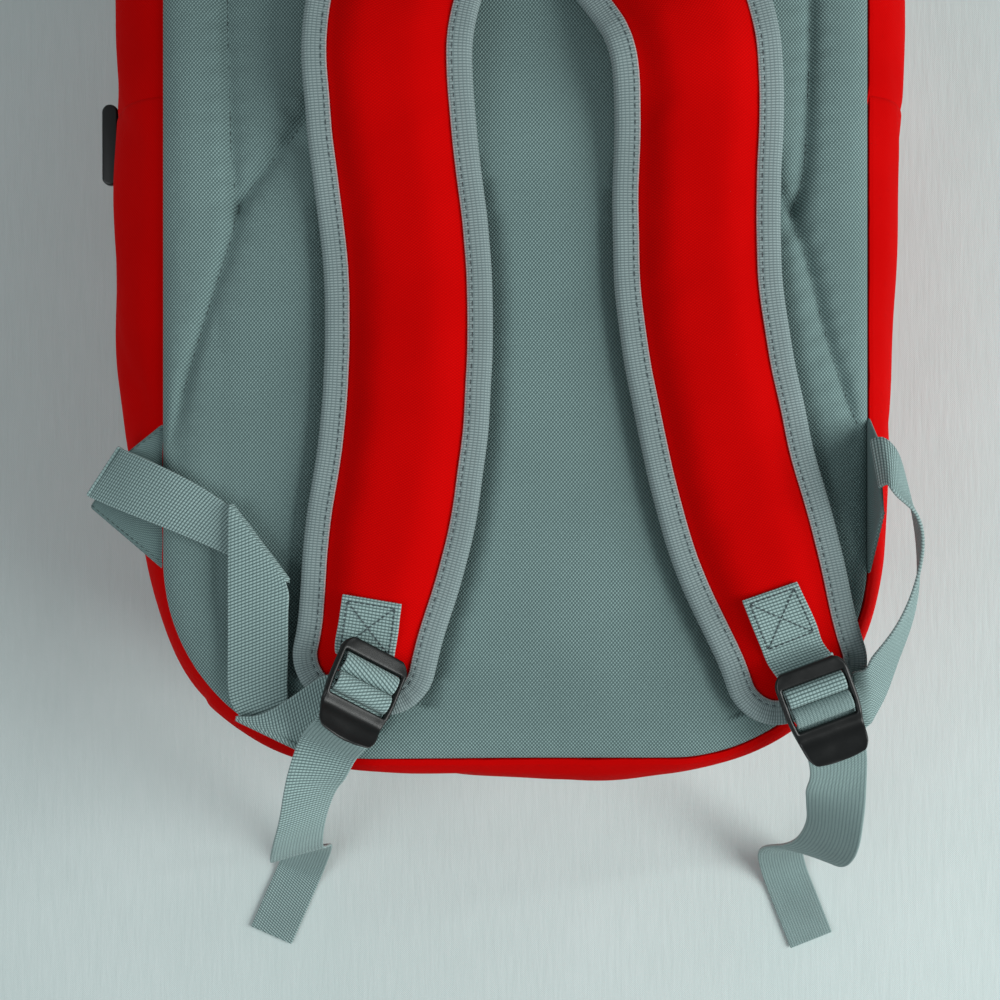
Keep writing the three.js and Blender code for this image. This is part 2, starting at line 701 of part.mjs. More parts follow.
function rulingAt(centre, direction, width = webWidth) {
  const half = direction.clone().normalize().multiplyScalar(width / 2);
  return { a: centre.clone().sub(half), b: centre.clone().add(half) };
}

// A place over the back panel, in shares of its half width, half height and the strap's thickness
const overPanel = (x, y, lift) => vec(x * halfWidth, y * halfHeight, bagDepth + lift * strapThick);

// A tape folded back on itself along its ruling. side says to which side of the ruling it turns.
function foldOver(ruling, side, upwards) {
  const along = ruling.b.clone().sub(ruling.a).setZ(0).normalize();
  const out = vec(-along.y, along.x, 0).multiplyScalar(side);
  const steps = 6;
  const rulings = [];
  for (let i = 0; i <= steps; i++) {
    const angle = (Math.PI * i) / steps;
    const shift = out.clone().multiplyScalar(foldRadius * (Math.sin(angle) - 1));
    shift.z = foldRadius * Math.cos(angle) * (upwards ? -1 : 1);
    rulings.push({ a: ruling.a.clone().add(shift), b: ruling.b.clone().add(shift) });
  }
  return rulings;
}

// Ladder buckles: where each sits, which way its top points, and how far it tips down at its lip
const buckleSpots = {
  left: { x: -0.429, y: -0.857, lift: 1.77, lean: -27, tip: 13 },
  right: { x: 0.837, y: -0.886, lift: 1.75, lean: 20.7, tip: 6 },
};

function buckleFrame({ x, y, lift, lean, tip }) {
  const group = new THREE.Group();
  group.rotation.set(radians(tip), 0, radians(lean), 'ZYX');
  group.position.copy(overPanel(x, y, lift));
  group.updateMatrixWorld(true);
  bag.add(group);
  return group;
}

function box(x, y, z, cx, cy, cz) {
  const geometry = new THREE.BoxGeometry(x, y, z);
  geometry.translate(cx, cy, cz);
  return solidOf(geometry);
}

const barHeight = 0.9;
const upperBar = barSpacing + 0.7;
const lowerBar = 0.7;
const railFoot = -1.2;
const underTopBar = 0.2;
function buckleGeometry() {
  const half = buckleWidth / 2;
  const outline = new THREE.Shape();
  const round = 5;
  outline.moveTo(-half, buckleWindowFoot - 3);
  outline.lineTo(half, buckleWindowFoot - 3);
  outline.lineTo(half, buckleTop - round);
  outline.absarc(half - round, buckleTop - round, round, 0, Math.PI / 2, false);
  outline.absarc(-half + round, buckleTop - round, round, Math.PI / 2, Math.PI, false);
  const frame = new THREE.ExtrudeGeometry(outline, { depth: buckleThick - railFoot, bevelEnabled: false, curveSegments: 5 });
  frame.translate(0, 0, railFoot);
  const innerHalf = half - buckleRail;
  const windowTop = buckleTop - buckleTopBar;
  const window = box(2 * innerHalf, windowTop - buckleWindowFoot, 20, 0, (windowTop + buckleWindowFoot) / 2, 0);
  const passage = box(2 * innerHalf, 2 * buckleTop, 4, 0, buckleTopBar, underTopBar - 2);
  const lipFoot = buckleWindowFoot - buckleLip;
  const lipSide = new THREE.Shape([
    new THREE.Vector2(buckleWindowFoot, 0.7),
    new THREE.Vector2(buckleWindowFoot - 0.5 * buckleLip, 0.4),
    new THREE.Vector2(lipFoot, 3.4),
    new THREE.Vector2(lipFoot + 1, 5.8),
    new THREE.Vector2(buckleWindowFoot - 0.5 * buckleLip, 3.2),
    new THREE.Vector2(buckleWindowFoot, 3.6),
  ]);
  const lip = new THREE.ExtrudeGeometry(lipSide, { depth: buckleWidth - 2, bevelEnabled: false });
  lip.applyMatrix4(new THREE.Matrix4().makeBasis(vec(0, 1, 0), vec(0, 0, 1), vec(1, 0, 0)));
  lip.translate(-half + 1, 0, 0);
  const cutUnderLip = box(2 * innerHalf, 30, 4, 0, lipFoot + 5, underTopBar - 2);
  let solid = solidOf(frame).subtract(window).subtract(passage).add(solidOf(lip)).subtract(cutUnderLip);
  for (const y of [upperBar, lowerBar]) {
    const bar = new THREE.CylinderGeometry(barRadius, barRadius, buckleWidth - 1, 8);
    bar.rotateZ(Math.PI / 2);
    bar.translate(0, y, barHeight);
    solid = solid.add(solidOf(bar));
  }
  return geometryFrom(solid);
}

// The tape's middle line round the bars, seen from the side of the buckle: y towards its top, z up
const wrapRadius = barRadius + 0.42 + webThick / 2;
function wrapOver(centre, from, to, steps) {
  const points = [];
  for (let i = 0; i <= steps; i++) {
    const angle = radians(THREE.MathUtils.lerp(from, to, i / steps));
    points.push({ y: centre + wrapRadius * Math.cos(angle), z: barHeight + wrapRadius * Math.sin(angle) });
  }
  return points;
}
const underBar = underTopBar - webThick / 2 - 0.3;
const tabUnder = -3.5;
const tabLine = [
  { y: 22, z: underBar - 0.7 },
  { y: 14.8, z: underBar - 0.3 },
  { y: 12.7, z: underBar + 0.1 },
  ...wrapOver(upperBar, 0, 180, 4),
  { y: upperBar - wrapRadius + 0.4, z: -1.9 },
  { y: upperBar - 1, z: tabUnder + 0.4 },
  { y: 10.5, z: tabUnder },
  { y: 20, z: tabUnder - 0.3 },
];
const webUnder = -4.9;
const webLine = [
  { y: -0.8, z: webUnder },
  { y: 1.6, z: webUnder + 0.4 },
  { y: lowerBar + wrapRadius - 0.2, z: -2.6 },
  ...wrapOver(lowerBar, 0, 180, 4),
  { y: lowerBar - wrapRadius - 0.9, z: -0.6 },
  { y: -5, z: underBar - 0.2 },
  { y: -13, z: underBar - 0.3 },
  { y: buckleWindowFoot - buckleLip - 1, z: underBar - 0.9 },
];

// The tape's way out from under the buckle, in the buckle's own plane: both ends of each ruling
const buckleFans = {
  left: [
    { ax: -19.5, ay: -3, bx: 1.3, by: -16.3 },
    { ax: -15.8, ay: -1.6, bx: 7.4, by: -10.6 },
    { ax: -13.3, ay: -1, bx: 11.4, by: -4.8 },
  ],
  right: [
    { ax: 17, ay: -15, bx: 17.8, by: 9 },
    { ax: 8.5, ay: -17, bx: 17, by: 5.6 },
    { ax: -2.4, ay: -14.4, bx: 15.8, by: 2.8 },
    { ax: -9.6, ay: -8, bx: 14.4, by: 0.6 },
  ],
};

// Anchor ends of the two tapes, over the panel: ruling is the angle of the line across the tape,
// and wide its length as a share of the tape's width, more than 1 where it runs aslant.
const leftWebRoute = {
  anchor: [
    { x: -1.166, y: -0.434, lift: -0.59, ruling: -126, wide: 1.03, tilt: 0.312 },
  ],
  outerFold: { x: -1.205, y: -0.414, lift: -0.53, ruling: -125.7, wide: 1.05, tilt: 0.312 },
  overPad: [
    { x: -1.106, y: -0.445, lift: 0.17, ruling: -104.8, wide: 1, tilt: 0.2 },
    { x: -0.989, y: -0.48, lift: 0.63, ruling: -81.3, wide: 1.11 },
    { x: -0.857, y: -0.523, lift: 0.73, ruling: -66.1, wide: 1.32 },
  ],
  upperFold: { x: -0.737, y: -0.559, lift: 0.93, ruling: -51.9, wide: 1.68 },
  down: [
    { x: -0.734, y: -0.62, lift: 1.08, ruling: -38, wide: 1.3 },
    { x: -0.734, y: -0.685, lift: 1.02, ruling: -13, wide: 1.04 },
    { x: -0.736, y: -0.786, lift: 0.78, ruling: -9, wide: 1.03 },
    { x: -0.739, y: -0.884, lift: 0.62, ruling: -22, wide: 1.12 },
  ],
  lowerFold: { x: -0.736, y: -0.952, lift: 0.7, ruling: -33.9, wide: 1.24, tilt: -0.19 },
  toBuckle: [
    { x: -0.672, y: -0.936, lift: 0.76, ruling: -48, wide: 1.12, tilt: -0.28 },
    { x: -0.597, y: -0.919, lift: 0.92, ruling: -59.7, wide: 1, tilt: -0.4 },
  ],
};

// The right tape stands on its edge: acrossX, acrossY and acrossZ point across it, from edge b to edge a.
const rightWebRoute = [
  { x: 0.977, y: -0.407, lift: 2.0, acrossX: 0, acrossY: 0.8, acrossZ: -0.6 },
  { x: 0.9966, y: -0.398, lift: 2.38, acrossX: 0.1, acrossY: 0.8, acrossZ: -0.6 },
  { x: 1.02, y: -0.417, lift: 2.5, acrossX: 0.3, acrossY: 0.62, acrossZ: -0.72 },
  { x: 1.047, y: -0.448, lift: 2.23, acrossX: 0.33, acrossY: 0.35, acrossZ: -0.87 },
  { x: 1.084, y: -0.487, lift: 1.85, acrossX: 0.27, acrossY: 0.1, acrossZ: -0.96 },
  { x: 1.104, y: -0.523, lift: 1.6, acrossX: 0.24, acrossY: 0.05, acrossZ: -0.97 },
  { x: 1.114, y: -0.573, lift: 1.4, acrossX: 0.14, acrossY: 0, acrossZ: -0.99 },
  { x: 1.111, y: -0.655, lift: 1.25, acrossX: 0.09, acrossY: -0.03, acrossZ: -0.99 },
  { x: 1.084, y: -0.718, lift: 1.2, acrossX: 0.18, acrossY: -0.1, acrossZ: -0.98 },
  { x: 1.044, y: -0.775, lift: 1.22, acrossX: 0.24, acrossY: -0.24, acrossZ: -0.94 },
  { x: 1.005, y: -0.826, lift: 1.28, acrossX: 0.26, acrossY: -0.55, acrossZ: -0.8 },
  { x: 0.976, y: -0.862, lift: 1.33, acrossX: 0.2, acrossY: -0.87, acrossZ: -0.45 },
];

// The free ends stand out stiffly past the base, then bend down and lie on the surface. height is a
// share of the depth, out is the distance past the panel's edge as a share of its half height.
const tailRoutes = {
  left: [
    { x: -0.533, out: -0.034, height: 1.078, twist: 4 },
    { x: -0.567, out: 0.02, height: 1.055, twist: 20 },
    { x: -0.592, out: 0.063, height: 1.035, twist: 38 },
    { x: -0.613, out: 0.113, height: 1.005, twist: 46 },
    { x: -0.636, out: 0.162, height: 0.965, twist: 46 },
    { x: -0.662, out: 0.217, height: 0.87, twist: 42 },
    { x: -0.687, out: 0.265, height: 0.72, twist: 36 },
    { x: -0.707, out: 0.303, height: 0.51, twist: 30 },
    { x: -0.727, out: 0.34, height: 0.3, twist: 24 },
    { x: -0.755, out: 0.385, height: 0.13, twist: 16 },
    { x: -0.795, out: 0.45, height: 0.035, twist: 6 },
  ],
  right: [
    { x: 0.897, out: 0.0095, height: 1.072, twist: 0 },
    { x: 0.8956, out: 0.0535, height: 1.05, twist: -12 },
    { x: 0.9, out: 0.085, height: 1.03, twist: -24 },
    { x: 0.905, out: 0.1215, height: 1.005, twist: -33 },
    { x: 0.91, out: 0.16, height: 0.975, twist: -39 },
    { x: 0.916, out: 0.205, height: 0.9, twist: -38 },
    { x: 0.9226, out: 0.25, height: 0.78, twist: -34 },
    { x: 0.929, out: 0.287, height: 0.615, twist: -28 },
    { x: 0.939, out: 0.32, height: 0.43, twist: -22 },
    { x: 0.953, out: 0.357, height: 0.255, twist: -16 },
    { x: 0.976, out: 0.402, height: 0.115, twist: -10 },
    { x: 1.01, out: 0.46, height: 0.03, twist: -4 },
  ],
};
const floorLift = 0.3;

function tailRulings(label, frame) {
  const across = vec(1, 0, 0).transformDirection(frame.matrixWorld);
  const rows = tailRoutes[label];
  const points = rows.map((row) => vec(row.x * halfWidth, -halfHeight * (1 + row.out), bagDepth * row.height));
  const lie = floorLift + webThick / 2;
  const way = points[points.length - 1].clone().sub(points[points.length - 3]).setZ(0).normalize();
  const landing = points[points.length - 1].clone().addScaledVector(way, 9).setZ(lie);
  const end = landing.clone().addScaledVector(way, tailOnFloor).setZ(lie);
  const hem = landing.clone().addScaledVector(way, tailOnFloor - hemFold).setZ(lie);
  const all = [...points, landing, hem, end];
  return all.map((point, i) => {
    const along = all[Math.min(i + 1, all.length - 1)].clone().sub(all[Math.max(i - 1, 0)]).normalize();
    const flat = vec(-along.y, along.x, 0).normalize();
    if (flat.dot(across) < 0) flat.negate();
    const share = Math.min(1, (i + 1) / 4);
    const direction = across.clone().lerp(flat, share);
    direction.addScaledVector(along, -direction.dot(along)).normalize();
    const twist = rows[i] ? radians(rows[i].twist) : 0;
    direction.applyAxisAngle(along, -twist);
    return rulingAt(point, direction);
  });
}

const inBuckle = (frame, x, y, z) => vec(x, y, z).applyMatrix4(frame.matrixWorld);
function lineInBuckle(frame, line) {
  return line.map(({ y, z }) => ({
    a: inBuckle(frame, -webWidth / 2, y, z),
    b: inBuckle(frame, webWidth / 2, y, z),
  }));
}
function fanInBuckle(frame, rows) {
  return rows.map(({ ax, ay, bx, by }) => ({
    a: inBuckle(frame, ax, ay, webUnder),
    b: inBuckle(frame, bx, by, webUnder),
  }));
}

function routeRuling({ x, y, lift, ruling, wide, tilt = 0 }) {
  const angle = radians(ruling);
  const across = vec(Math.cos(angle), Math.sin(angle), tilt * Math.cos(angle));
  return rulingAt(overPanel(x, y, lift), across, webWidth * wide);
}

const webRulings = {
  left: () => [
    ...leftWebRoute.anchor.map(routeRuling),
    ...foldOver(routeRuling(leftWebRoute.outerFold), -1, true),
    ...leftWebRoute.overPad.map(routeRuling),
    ...foldOver(routeRuling(leftWebRoute.upperFold), 1, true),
    ...leftWebRoute.down.map(routeRuling),
    ...foldOver(routeRuling(leftWebRoute.lowerFold), -1, true),
    ...leftWebRoute.toBuckle.map(routeRuling),
  ],
  right: () => rightWebRoute.map(({ x, y, lift, acrossX, acrossY, acrossZ }) => (
    rulingAt(overPanel(x, y, lift), vec(-acrossX, -acrossY, -acrossZ))
  )),
};

// The sewn tab that holds each buckle: its far end lies on the strap's face
const tabReach = 46;
const tabSewn = 25;
function tabOnStrap(frame, strap) {
  const { curve } = strap;
  const length = curve.getLength();
  const buckleAt = frame.position;
  let nearest = 0;
  let best = Infinity;
  for (let d = 0; d < length / 2; d += 1) {
    const point = curve.getPointAt(1 - d / length);
    const distance = Math.hypot(point.x - buckleAt.x, point.y - buckleAt.y);
    if (distance < best) [best, nearest] = [distance, d];
  }
  return [tabReach, tabReach - 0.4 * tabSewn, tabReach - 0.7 * tabSewn].map((reach) => {
    const fromTip = nearest + reach;
    const at = curve.getPointAt(1 - fromTip / length);
    const along = curve.getTangentAt(1 - fromTip / length);
    const across = vec(-along.y, along.x, 0).normalize();
    const swell = swellAt({ fromTip, length });
    const sideways = vec(buckleAt.x, buckleAt.y, 0).sub(curve.getPointAt(1 - nearest / length).setZ(0));
    at.addScaledVector(across, across.dot(sideways) * (1 - reach / tabReach));
    at.z += THREE.MathUtils.lerp(strapEdge / 2, strapThick - strapBelly, swell) + 0.9 + webThick / 2;
    return rulingAt(at, across);
  });
}

const buckleShape = buckleGeometry();
const buckleFrames = {};
for (const label of ['left', 'right']) {
  const frame = buckleFrame(buckleSpots[label]);
  buckleFrames[label] = frame;
  addPiece(`buckle_${label}`, buckleShape, black, frame);
  const tab = [...tabOnStrap(frame, straps[label]), ...lineInBuckle(frame, tabLine)];
  addPiece(`strap_tab_${label}`, ribbon(tab), webbing);
  const web = [
    ...webRulings[label](),
    ...fanInBuckle(frame, buckleFans[label]),
    ...lineInBuckle(frame, webLine),
    ...tailRulings(label, frame),
  ];
  addPiece(`adjuster_web_${label}`, ribbon(web), webbing);
}

// Anchor wings: a doubled triangle of cloth sewn into each side seam, with the tape sewn to its tip
function plate(corners, thick) {
  const [a, b, c, d] = corners;
  const up = b.clone().sub(a).cross(c.clone().sub(a)).normalize().multiplyScalar(thick / 2);
  const section = (first, second) => ({
    outer: [first.clone().add(up), second.clone().add(up)],
    inner: [first.clone().sub(up), second.clone().sub(up)],
  });
  return loft([section(a, b), section(d, c)]);
}
const wingLift = 0.9 / strapThick;
const wingHalf = wingThick / 2 / strapThick;
addPiece('anchor_wing_left', plate([
  overPanel(-1.013, -0.322, wingLift + wingHalf),
  overPanel(-1.013, -0.63, wingLift + wingHalf),
  overPanel(-1.235, -0.502, wingLift + wingHalf - 0.79),
  overPanel(-1.133, -0.378, wingLift + wingHalf - 0.428),
], wingThick), grey);
addPiece('anchor_wing_right', plate([
  overPanel(1.012, -0.308, wingLift),
  overPanel(1.012, -0.627, wingLift),
  overPanel(0.998, -0.487, 2.05),
  overPanel(0.998, -0.352, 1.4),
], wingThick), grey);

// The yoke tape sewn over the straps' top ends, and the grab handle at the top seam
const yokeLine = [
  { across: -1, up: 0 },
  { across: -0.9, up: 0.12 },
  { across: -0.865, up: 1 },
  { across: -0.04, up: 1 },
  { across: 0.04, up: 1 },
  { across: 0.865, up: 1 },
  { across: 0.9, up: 0.12 },
  { across: 1, up: 0 },
];
const yokeLow = bagDepth + panelCrown + 0.5 + webThick / 2;
const yokeHigh = strapMid + strapEdge / 2 + bindingClear + bindingThick + 4.2 + webThick / 2;
addPiece('yoke_tape', ribbon(yokeLine.map(({ across, up }) => rulingAt(
  vec(across * yokeReach, halfHeight - yokeDrop, THREE.MathUtils.lerp(yokeLow, yokeHigh, up)),
  vec(0, 1, 0),
))), webbing);

const handleFoot = halfHeight - panelRim - handleWidth / 2;
const handleThick = 1.5 * webThick;
const handleLow = bagDepth + 0.85 * panelCrown + 0.4 + handleThick / 2;
const handleSteps = 12;
const handleRuling = (x, rise) => rulingAt(
  vec(x, handleFoot + 0.25 * rise, handleLow + rise),
  vec(0, 1, 0.15 * Math.min(1, rise / 10)),
  handleWidth,
);
const handleRulings = [];
for (let i = 0; i <= handleSteps; i++) {
  const angle = Math.PI * (1 - i / handleSteps);
  handleRulings.push(handleRuling((handleSpan / 2) * Math.cos(angle), handleRise * Math.sin(angle)));
}
handleRulings.unshift(handleRuling(-handleSpan / 2 - handleFootLength, 0));
handleRulings.push(handleRuling(handleSpan / 2 + handleFootLength, 0));
addPiece('grab_handle', ribbon(handleRulings, handleThick), webbing);

export default bag;
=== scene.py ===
import math
import bmesh
import bpy
from mathutils import Matrix, Vector, noise
from mathutils.bvhtree import BVHTree


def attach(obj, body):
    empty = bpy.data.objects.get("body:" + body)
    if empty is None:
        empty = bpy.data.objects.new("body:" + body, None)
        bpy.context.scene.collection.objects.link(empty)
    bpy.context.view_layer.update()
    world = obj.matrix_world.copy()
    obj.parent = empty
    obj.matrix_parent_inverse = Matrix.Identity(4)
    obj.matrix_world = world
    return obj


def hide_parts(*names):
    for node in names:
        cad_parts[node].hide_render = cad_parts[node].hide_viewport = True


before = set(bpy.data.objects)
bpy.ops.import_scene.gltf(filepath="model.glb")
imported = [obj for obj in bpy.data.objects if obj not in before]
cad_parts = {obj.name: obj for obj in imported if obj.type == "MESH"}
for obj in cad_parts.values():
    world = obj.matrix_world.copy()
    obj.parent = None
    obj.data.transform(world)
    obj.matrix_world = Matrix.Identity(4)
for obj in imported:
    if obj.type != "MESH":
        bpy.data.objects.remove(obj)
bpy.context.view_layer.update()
mm = 0.001
scene = bpy.context.scene
scene.view_settings.view_transform = "Standard"


# shader maths: a wire is one socket, and an expression on wires adds the nodes for it
class Wire:
    def __init__(self, finish, socket):
        self.finish = finish
        self.socket = socket

    def maths(self, operation, *values):
        return self.finish.add("ShaderNodeMath", {"operation": operation}, dict(enumerate(values)))

    def __add__(self, other): return self.maths("ADD", self, other)
    def __radd__(self, other): return self.maths("ADD", other, self)
    def __sub__(self, other): return self.maths("SUBTRACT", self, other)
    def __rsub__(self, other): return self.maths("SUBTRACT", other, self)
    def __mul__(self, other): return self.maths("MULTIPLY", self, other)
    def __rmul__(self, other): return self.maths("MULTIPLY", other, self)
    def __truediv__(self, other): return self.maths("DIVIDE", self, other)
    def __rtruediv__(self, other): return self.maths("DIVIDE", other, self)
    def __pow__(self, other): return self.maths("POWER", self, other)
    def __neg__(self): return self.maths("MULTIPLY", self, -1.0)
    def __abs__(self): return self.maths("ABSOLUTE", self)
    def sine(self): return self.maths("SINE", self)
    def cosine(self): return self.maths("COSINE", self)
    def least(self, other): return self.maths("MINIMUM", self, other)
    def most(self, other): return self.maths("MAXIMUM", self, other)

    def ramp(self, low, high, toLow=0.0, toHigh=1.0):
        return self.finish.add("ShaderNodeMapRange", {"interpolation_type": "SMOOTHSTEP", "clamp": True}, {
            "Value": self, "From Min": low, "From Max": high, "To Min": toLow, "To Max": toHigh})


class Finish:
    def __init__(self, name, constants):
        self.material = bpy.data.materials.new(name)
        self.material.use_nodes = True
        self.tree = self.material.node_tree
        self.shader = self.tree.nodes["Principled BSDF"]
        for socket, value in constants.items():
            self.shader.inputs[socket].default_value = value

    def add(self, kind, settings=None, sockets=None, output=0):
        node = self.tree.nodes.new(kind)
        for key, value in (settings or {}).items():
            setattr(node, key, value)
        for key, value in (sockets or {}).items():
            self.join(node.inputs[key], value)
        return Wire(self, node.outputs[output])

    def join(self, socket, value):
        if isinstance(value, Wire):
            self.tree.links.new(value.socket, socket)
        else:
            socket.default_value = value

    def surface(self, **sockets):
        for key, value in sockets.items():
            self.join(self.shader.inputs[key.replace("_", " ")], value)

    def patternPlace(self):
        place = self.add("ShaderNodeUVMap", {"uv_map": "weave"})
        split = place.finish.add("ShaderNodeSeparateXYZ", {}, {0: place})
        across = Wire(self, split.socket.node.outputs[1])
        return split, across, place

    def objectPlace(self):
        return self.add("ShaderNodeTexCoord", {}, {}, "Object")

    def cloud(self, place, scale, detail=3.0, rough=0.55):
        return self.add("ShaderNodeTexNoise", {}, {
            "Vector": place, "Scale": scale, "Detail": detail, "Roughness": rough})

    def mix(self, share, first, second):
        node = self.tree.nodes.new("ShaderNodeMix")
        node.data_type = "RGBA"
        node.clamp_factor = True
        self.join(node.inputs[0], share)
        self.join(node.inputs[6], first)
        self.join(node.inputs[7], second)
        return Wire(self, node.outputs[2])

    def relief(self, height, distance, strength=1.0, under=None):
        sockets = {"Height": height, "Distance": distance, "Strength": strength}
        if under is not None:
            sockets["Normal"] = under
        return self.add("ShaderNodeBump", {}, sockets)


def colour(red, green, blue):
    return (red, green, blue, 1.0)


turn = 2 * math.pi

# a staggered weave of small floats, as coarse pack cloth has
clothFinishes = {
    "backPanel": {"pitch": (1.46 * mm, 1.68 * mm), "light": (0.29, 0.42, 0.41), "dark": (0.04, 0.075, 0.075),
                  "relief": 0.2 * mm, "rough": 0.82, "sheen": 0.08, "shine": 0.2, "contrast": 0.9},
    "redCloth": {"pitch": (1.17 * mm, 1.7 * mm), "light": (0.64, 0.0005, 0.0006), "dark": (0.45, 0.0002, 0.0003),
                 "relief": 0.07 * mm, "rough": 0.9, "sheen": 0.0, "shine": 0.04, "contrast": 0.75},
    "wingCloth": {"pitch": (1.2 * mm, 1.4 * mm), "light": (0.22, 0.325, 0.32), "dark": (0.045, 0.08, 0.08),
                  "relief": 0.14 * mm, "rough": 0.85, "sheen": 0.08, "shine": 0.2, "contrast": 0.8},
}


def clothFinish(name):
    spec = clothFinishes[name]
    made = Finish(name, {"Sheen Weight": spec["sheen"], "Sheen Roughness": 0.5, "Specular IOR Level": spec["shine"]})
    along, across, place = made.patternPlace()
    wander = (made.cloud(place, 90.0, 2.0) - 0.5) * 0.9
    crossing = (along * (turn / spec["pitch"][0]) + wander).sine() * (across * (turn / spec["pitch"][1]) + wander).sine()
    floats = crossing.ramp(-0.4, 0.7, 1.0 - spec["contrast"], 1.0)
    flat = made.cloud(made.objectPlace(), 14.0, 4.0)
    speckle = made.cloud(place, 900.0, 2.0)
    light = made.mix(flat.ramp(0.3, 0.75), colour(*spec["light"]), colour(*[0.84 * c for c in spec["light"]]))
    shade = made.mix((floats * 0.86 + speckle * 0.22).least(1.0), colour(*spec["dark"]), light)
    made.surface(Base_Color=shade, Roughness=flat.ramp(0.2, 0.8, spec["rough"] - 0.06, spec["rough"] + 0.06),
                 Normal=made.relief(floats + speckle * 0.25, spec["relief"]))
    return made.material


# flat woven tape: cross ribs, and the cells that the warp makes between them
tapeFinishes = {
    "webbing": {"rib": 1.38 * mm, "cell": 1.5 * mm, "light": (0.37, 0.51, 0.5), "dark": (0.05, 0.09, 0.09),
                "relief": 0.2 * mm, "edge": (0.42, 0.52, 0.51), "edgeFrom": 11.5 * mm, "rough": 0.78},
    "binding": {"rib": 1.13 * mm, "cell": 1.5 * mm, "light": (0.31, 0.39, 0.39), "dark": (0.11, 0.155, 0.16),
                "relief": 0.15 * mm, "edge": (0.5, 0.4, 0.4), "edgeFrom": None, "rough": 0.8},
    "handleTape": {"rib": 1.38 * mm, "cell": 1.5 * mm, "light": (0.37, 0.51, 0.5), "dark": (0.05, 0.09, 0.09),
                   "relief": 0.2 * mm, "edge": (0.42, 0.52, 0.51), "edgeFrom": 10.0 * mm, "rough": 0.78},
    "zipTape": {"rib": 0.7 * mm, "cell": 0.7 * mm, "light": (0.022, 0.022, 0.025), "dark": (0.006, 0.006, 0.007),
                "relief": 0.08 * mm, "edge": None, "edgeFrom": None, "rough": 0.85},
}


def tapeFinish(name):
    spec = tapeFinishes[name]
    made = Finish(name, {"Sheen Weight": 0.08, "Sheen Roughness": 0.5, "Specular IOR Level": 0.2})
    along, across, place = made.patternPlace()
    wander = (made.cloud(place, 120.0, 2.0) - 0.5) * 0.8
    rib = (along * (math.pi / spec["rib"]) + wander).cosine()
    cell = (across * (math.pi / spec["cell"]) + wander * 0.6).cosine()
    bumps = abs(rib).ramp(0.08, 1.0) * abs(cell).ramp(0.05, 0.9, 0.42, 1.0)
    fibre = made.cloud(place, 1500.0, 2.0)
    flat = made.cloud(made.objectPlace(), 22.0, 3.0)
    light = made.mix(flat.ramp(0.3, 0.75), colour(*spec["light"]), colour(*[0.86 * c for c in spec["light"]]))
    shade = made.mix((bumps * 0.95 + fibre * 0.2).least(1.0), colour(*spec["dark"]), light)
    if spec["edge"]:
        fuzz = made.cloud(place, 1300.0, 2.0) * (1.5 * mm)
        if spec["edgeFrom"]:  # the pale selvedge along both sides
            fluff = (abs(across) + fuzz).ramp(spec["edgeFrom"] + 1.1 * mm, spec["edgeFrom"] + 1.9 * mm, 0.0, 0.3)
        else:  # the fluffy inner edge of the binding
            fluff = (across + fuzz).ramp(0.85 * mm, 1.6 * mm, 0.85, 0.0)
        shade = made.mix(fluff, shade, colour(*spec["edge"]))
    made.surface(Base_Color=shade, Roughness=flat.ramp(0.2, 0.8, spec["rough"] - 0.05, spec["rough"] + 0.08),
                 Normal=made.relief(bumps + fibre * 0.2, spec["relief"]))
    return made.material


def threadFinish(name, tone):
    made = Finish(name, {"Sheen Weight": 0.2, "Specular IOR Level": 0.35})
    place = made.objectPlace()
    ply = made.cloud(place, 2600.0, 1.0)
    made.surface(Base_Color=made.mix(ply, colour(*[0.6 * c for c in tone]), colour(*tone)),
                 Roughness=ply.ramp(0.2, 0.8, 0.55, 0.75), Normal=made.relief(ply, 0.05 * mm))
    return made.material


def plasticFinish(name):
    made = Finish(name, {"Specular IOR Level": 0.5})
    place = made.objectPlace()
    grain = made.cloud(place, 2200.0, 3.0)
    scuff = made.cloud(place, 160.0, 5.0, 0.7)
    wear = scuff.ramp(0.55, 0.8)
    made.surface(Base_Color=made.mix(wear, colour(0.002, 0.0026, 0.0026), colour(0.0045, 0.0055, 0.0055)),
                 Roughness=(scuff * 0.2 + 0.27), Normal=made.relief(grain + scuff * 2.0, 0.02 * mm))
    return made.material


def floorFinish(name):
    made = Finish(name, {"Specular IOR Level": 0.2})
    place = made.objectPlace()
    split = made.add("ShaderNodeSeparateXYZ", {}, {0: place})
    sideways = Wire(made, split.socket.node.outputs[1])
    threads = (split * (turn / (1.1 * mm))).sine() * (sideways * (turn / (1.1 * mm))).sine()
    slub = made.cloud(made.add("ShaderNodeVectorMath", {"operation": "MULTIPLY"}, {0: place, 1: (9.0, 1.0, 1.0)}), 40.0)
    crease = made.cloud(place, 5.5, 3.0)
    # the floor colour is partly the cloth's random tone (slub, threads) and partly painted shade: the crease noise that
    # raises the bump below also makes the colour darker in the low parts of the creases
    tone = (crease * 0.5 + slub * 0.35 + threads * 0.05).ramp(0.2, 0.7)
    made.surface(Base_Color=made.mix(tone, colour(0.56, 0.65, 0.64), colour(0.63, 0.71, 0.705)), Roughness=0.95,
                 Normal=made.relief(crease * 8.0 + slub * 0.6 + threads * 0.1, 0.35 * mm))
    return made.material


panelCloth = clothFinish("backPanel")
redCloth = clothFinish("redCloth")
wingCloth = clothFinish("wingCloth")
webbing = tapeFinish("webbing")
bindingTape = tapeFinish("binding")
handleTape = tapeFinish("handleTape")
zipTape = tapeFinish("zipTape")
greyThread = threadFinish("greyThread", (0.06, 0.1, 0.1))
redThread = threadFinish("redThread", (0.4, 0.004, 0.006))
darkThread = threadFinish("darkThread", (0.07, 0.1, 0.11))
blackPlastic = plasticFinish("blackPlastic")
print("finishes mixed")


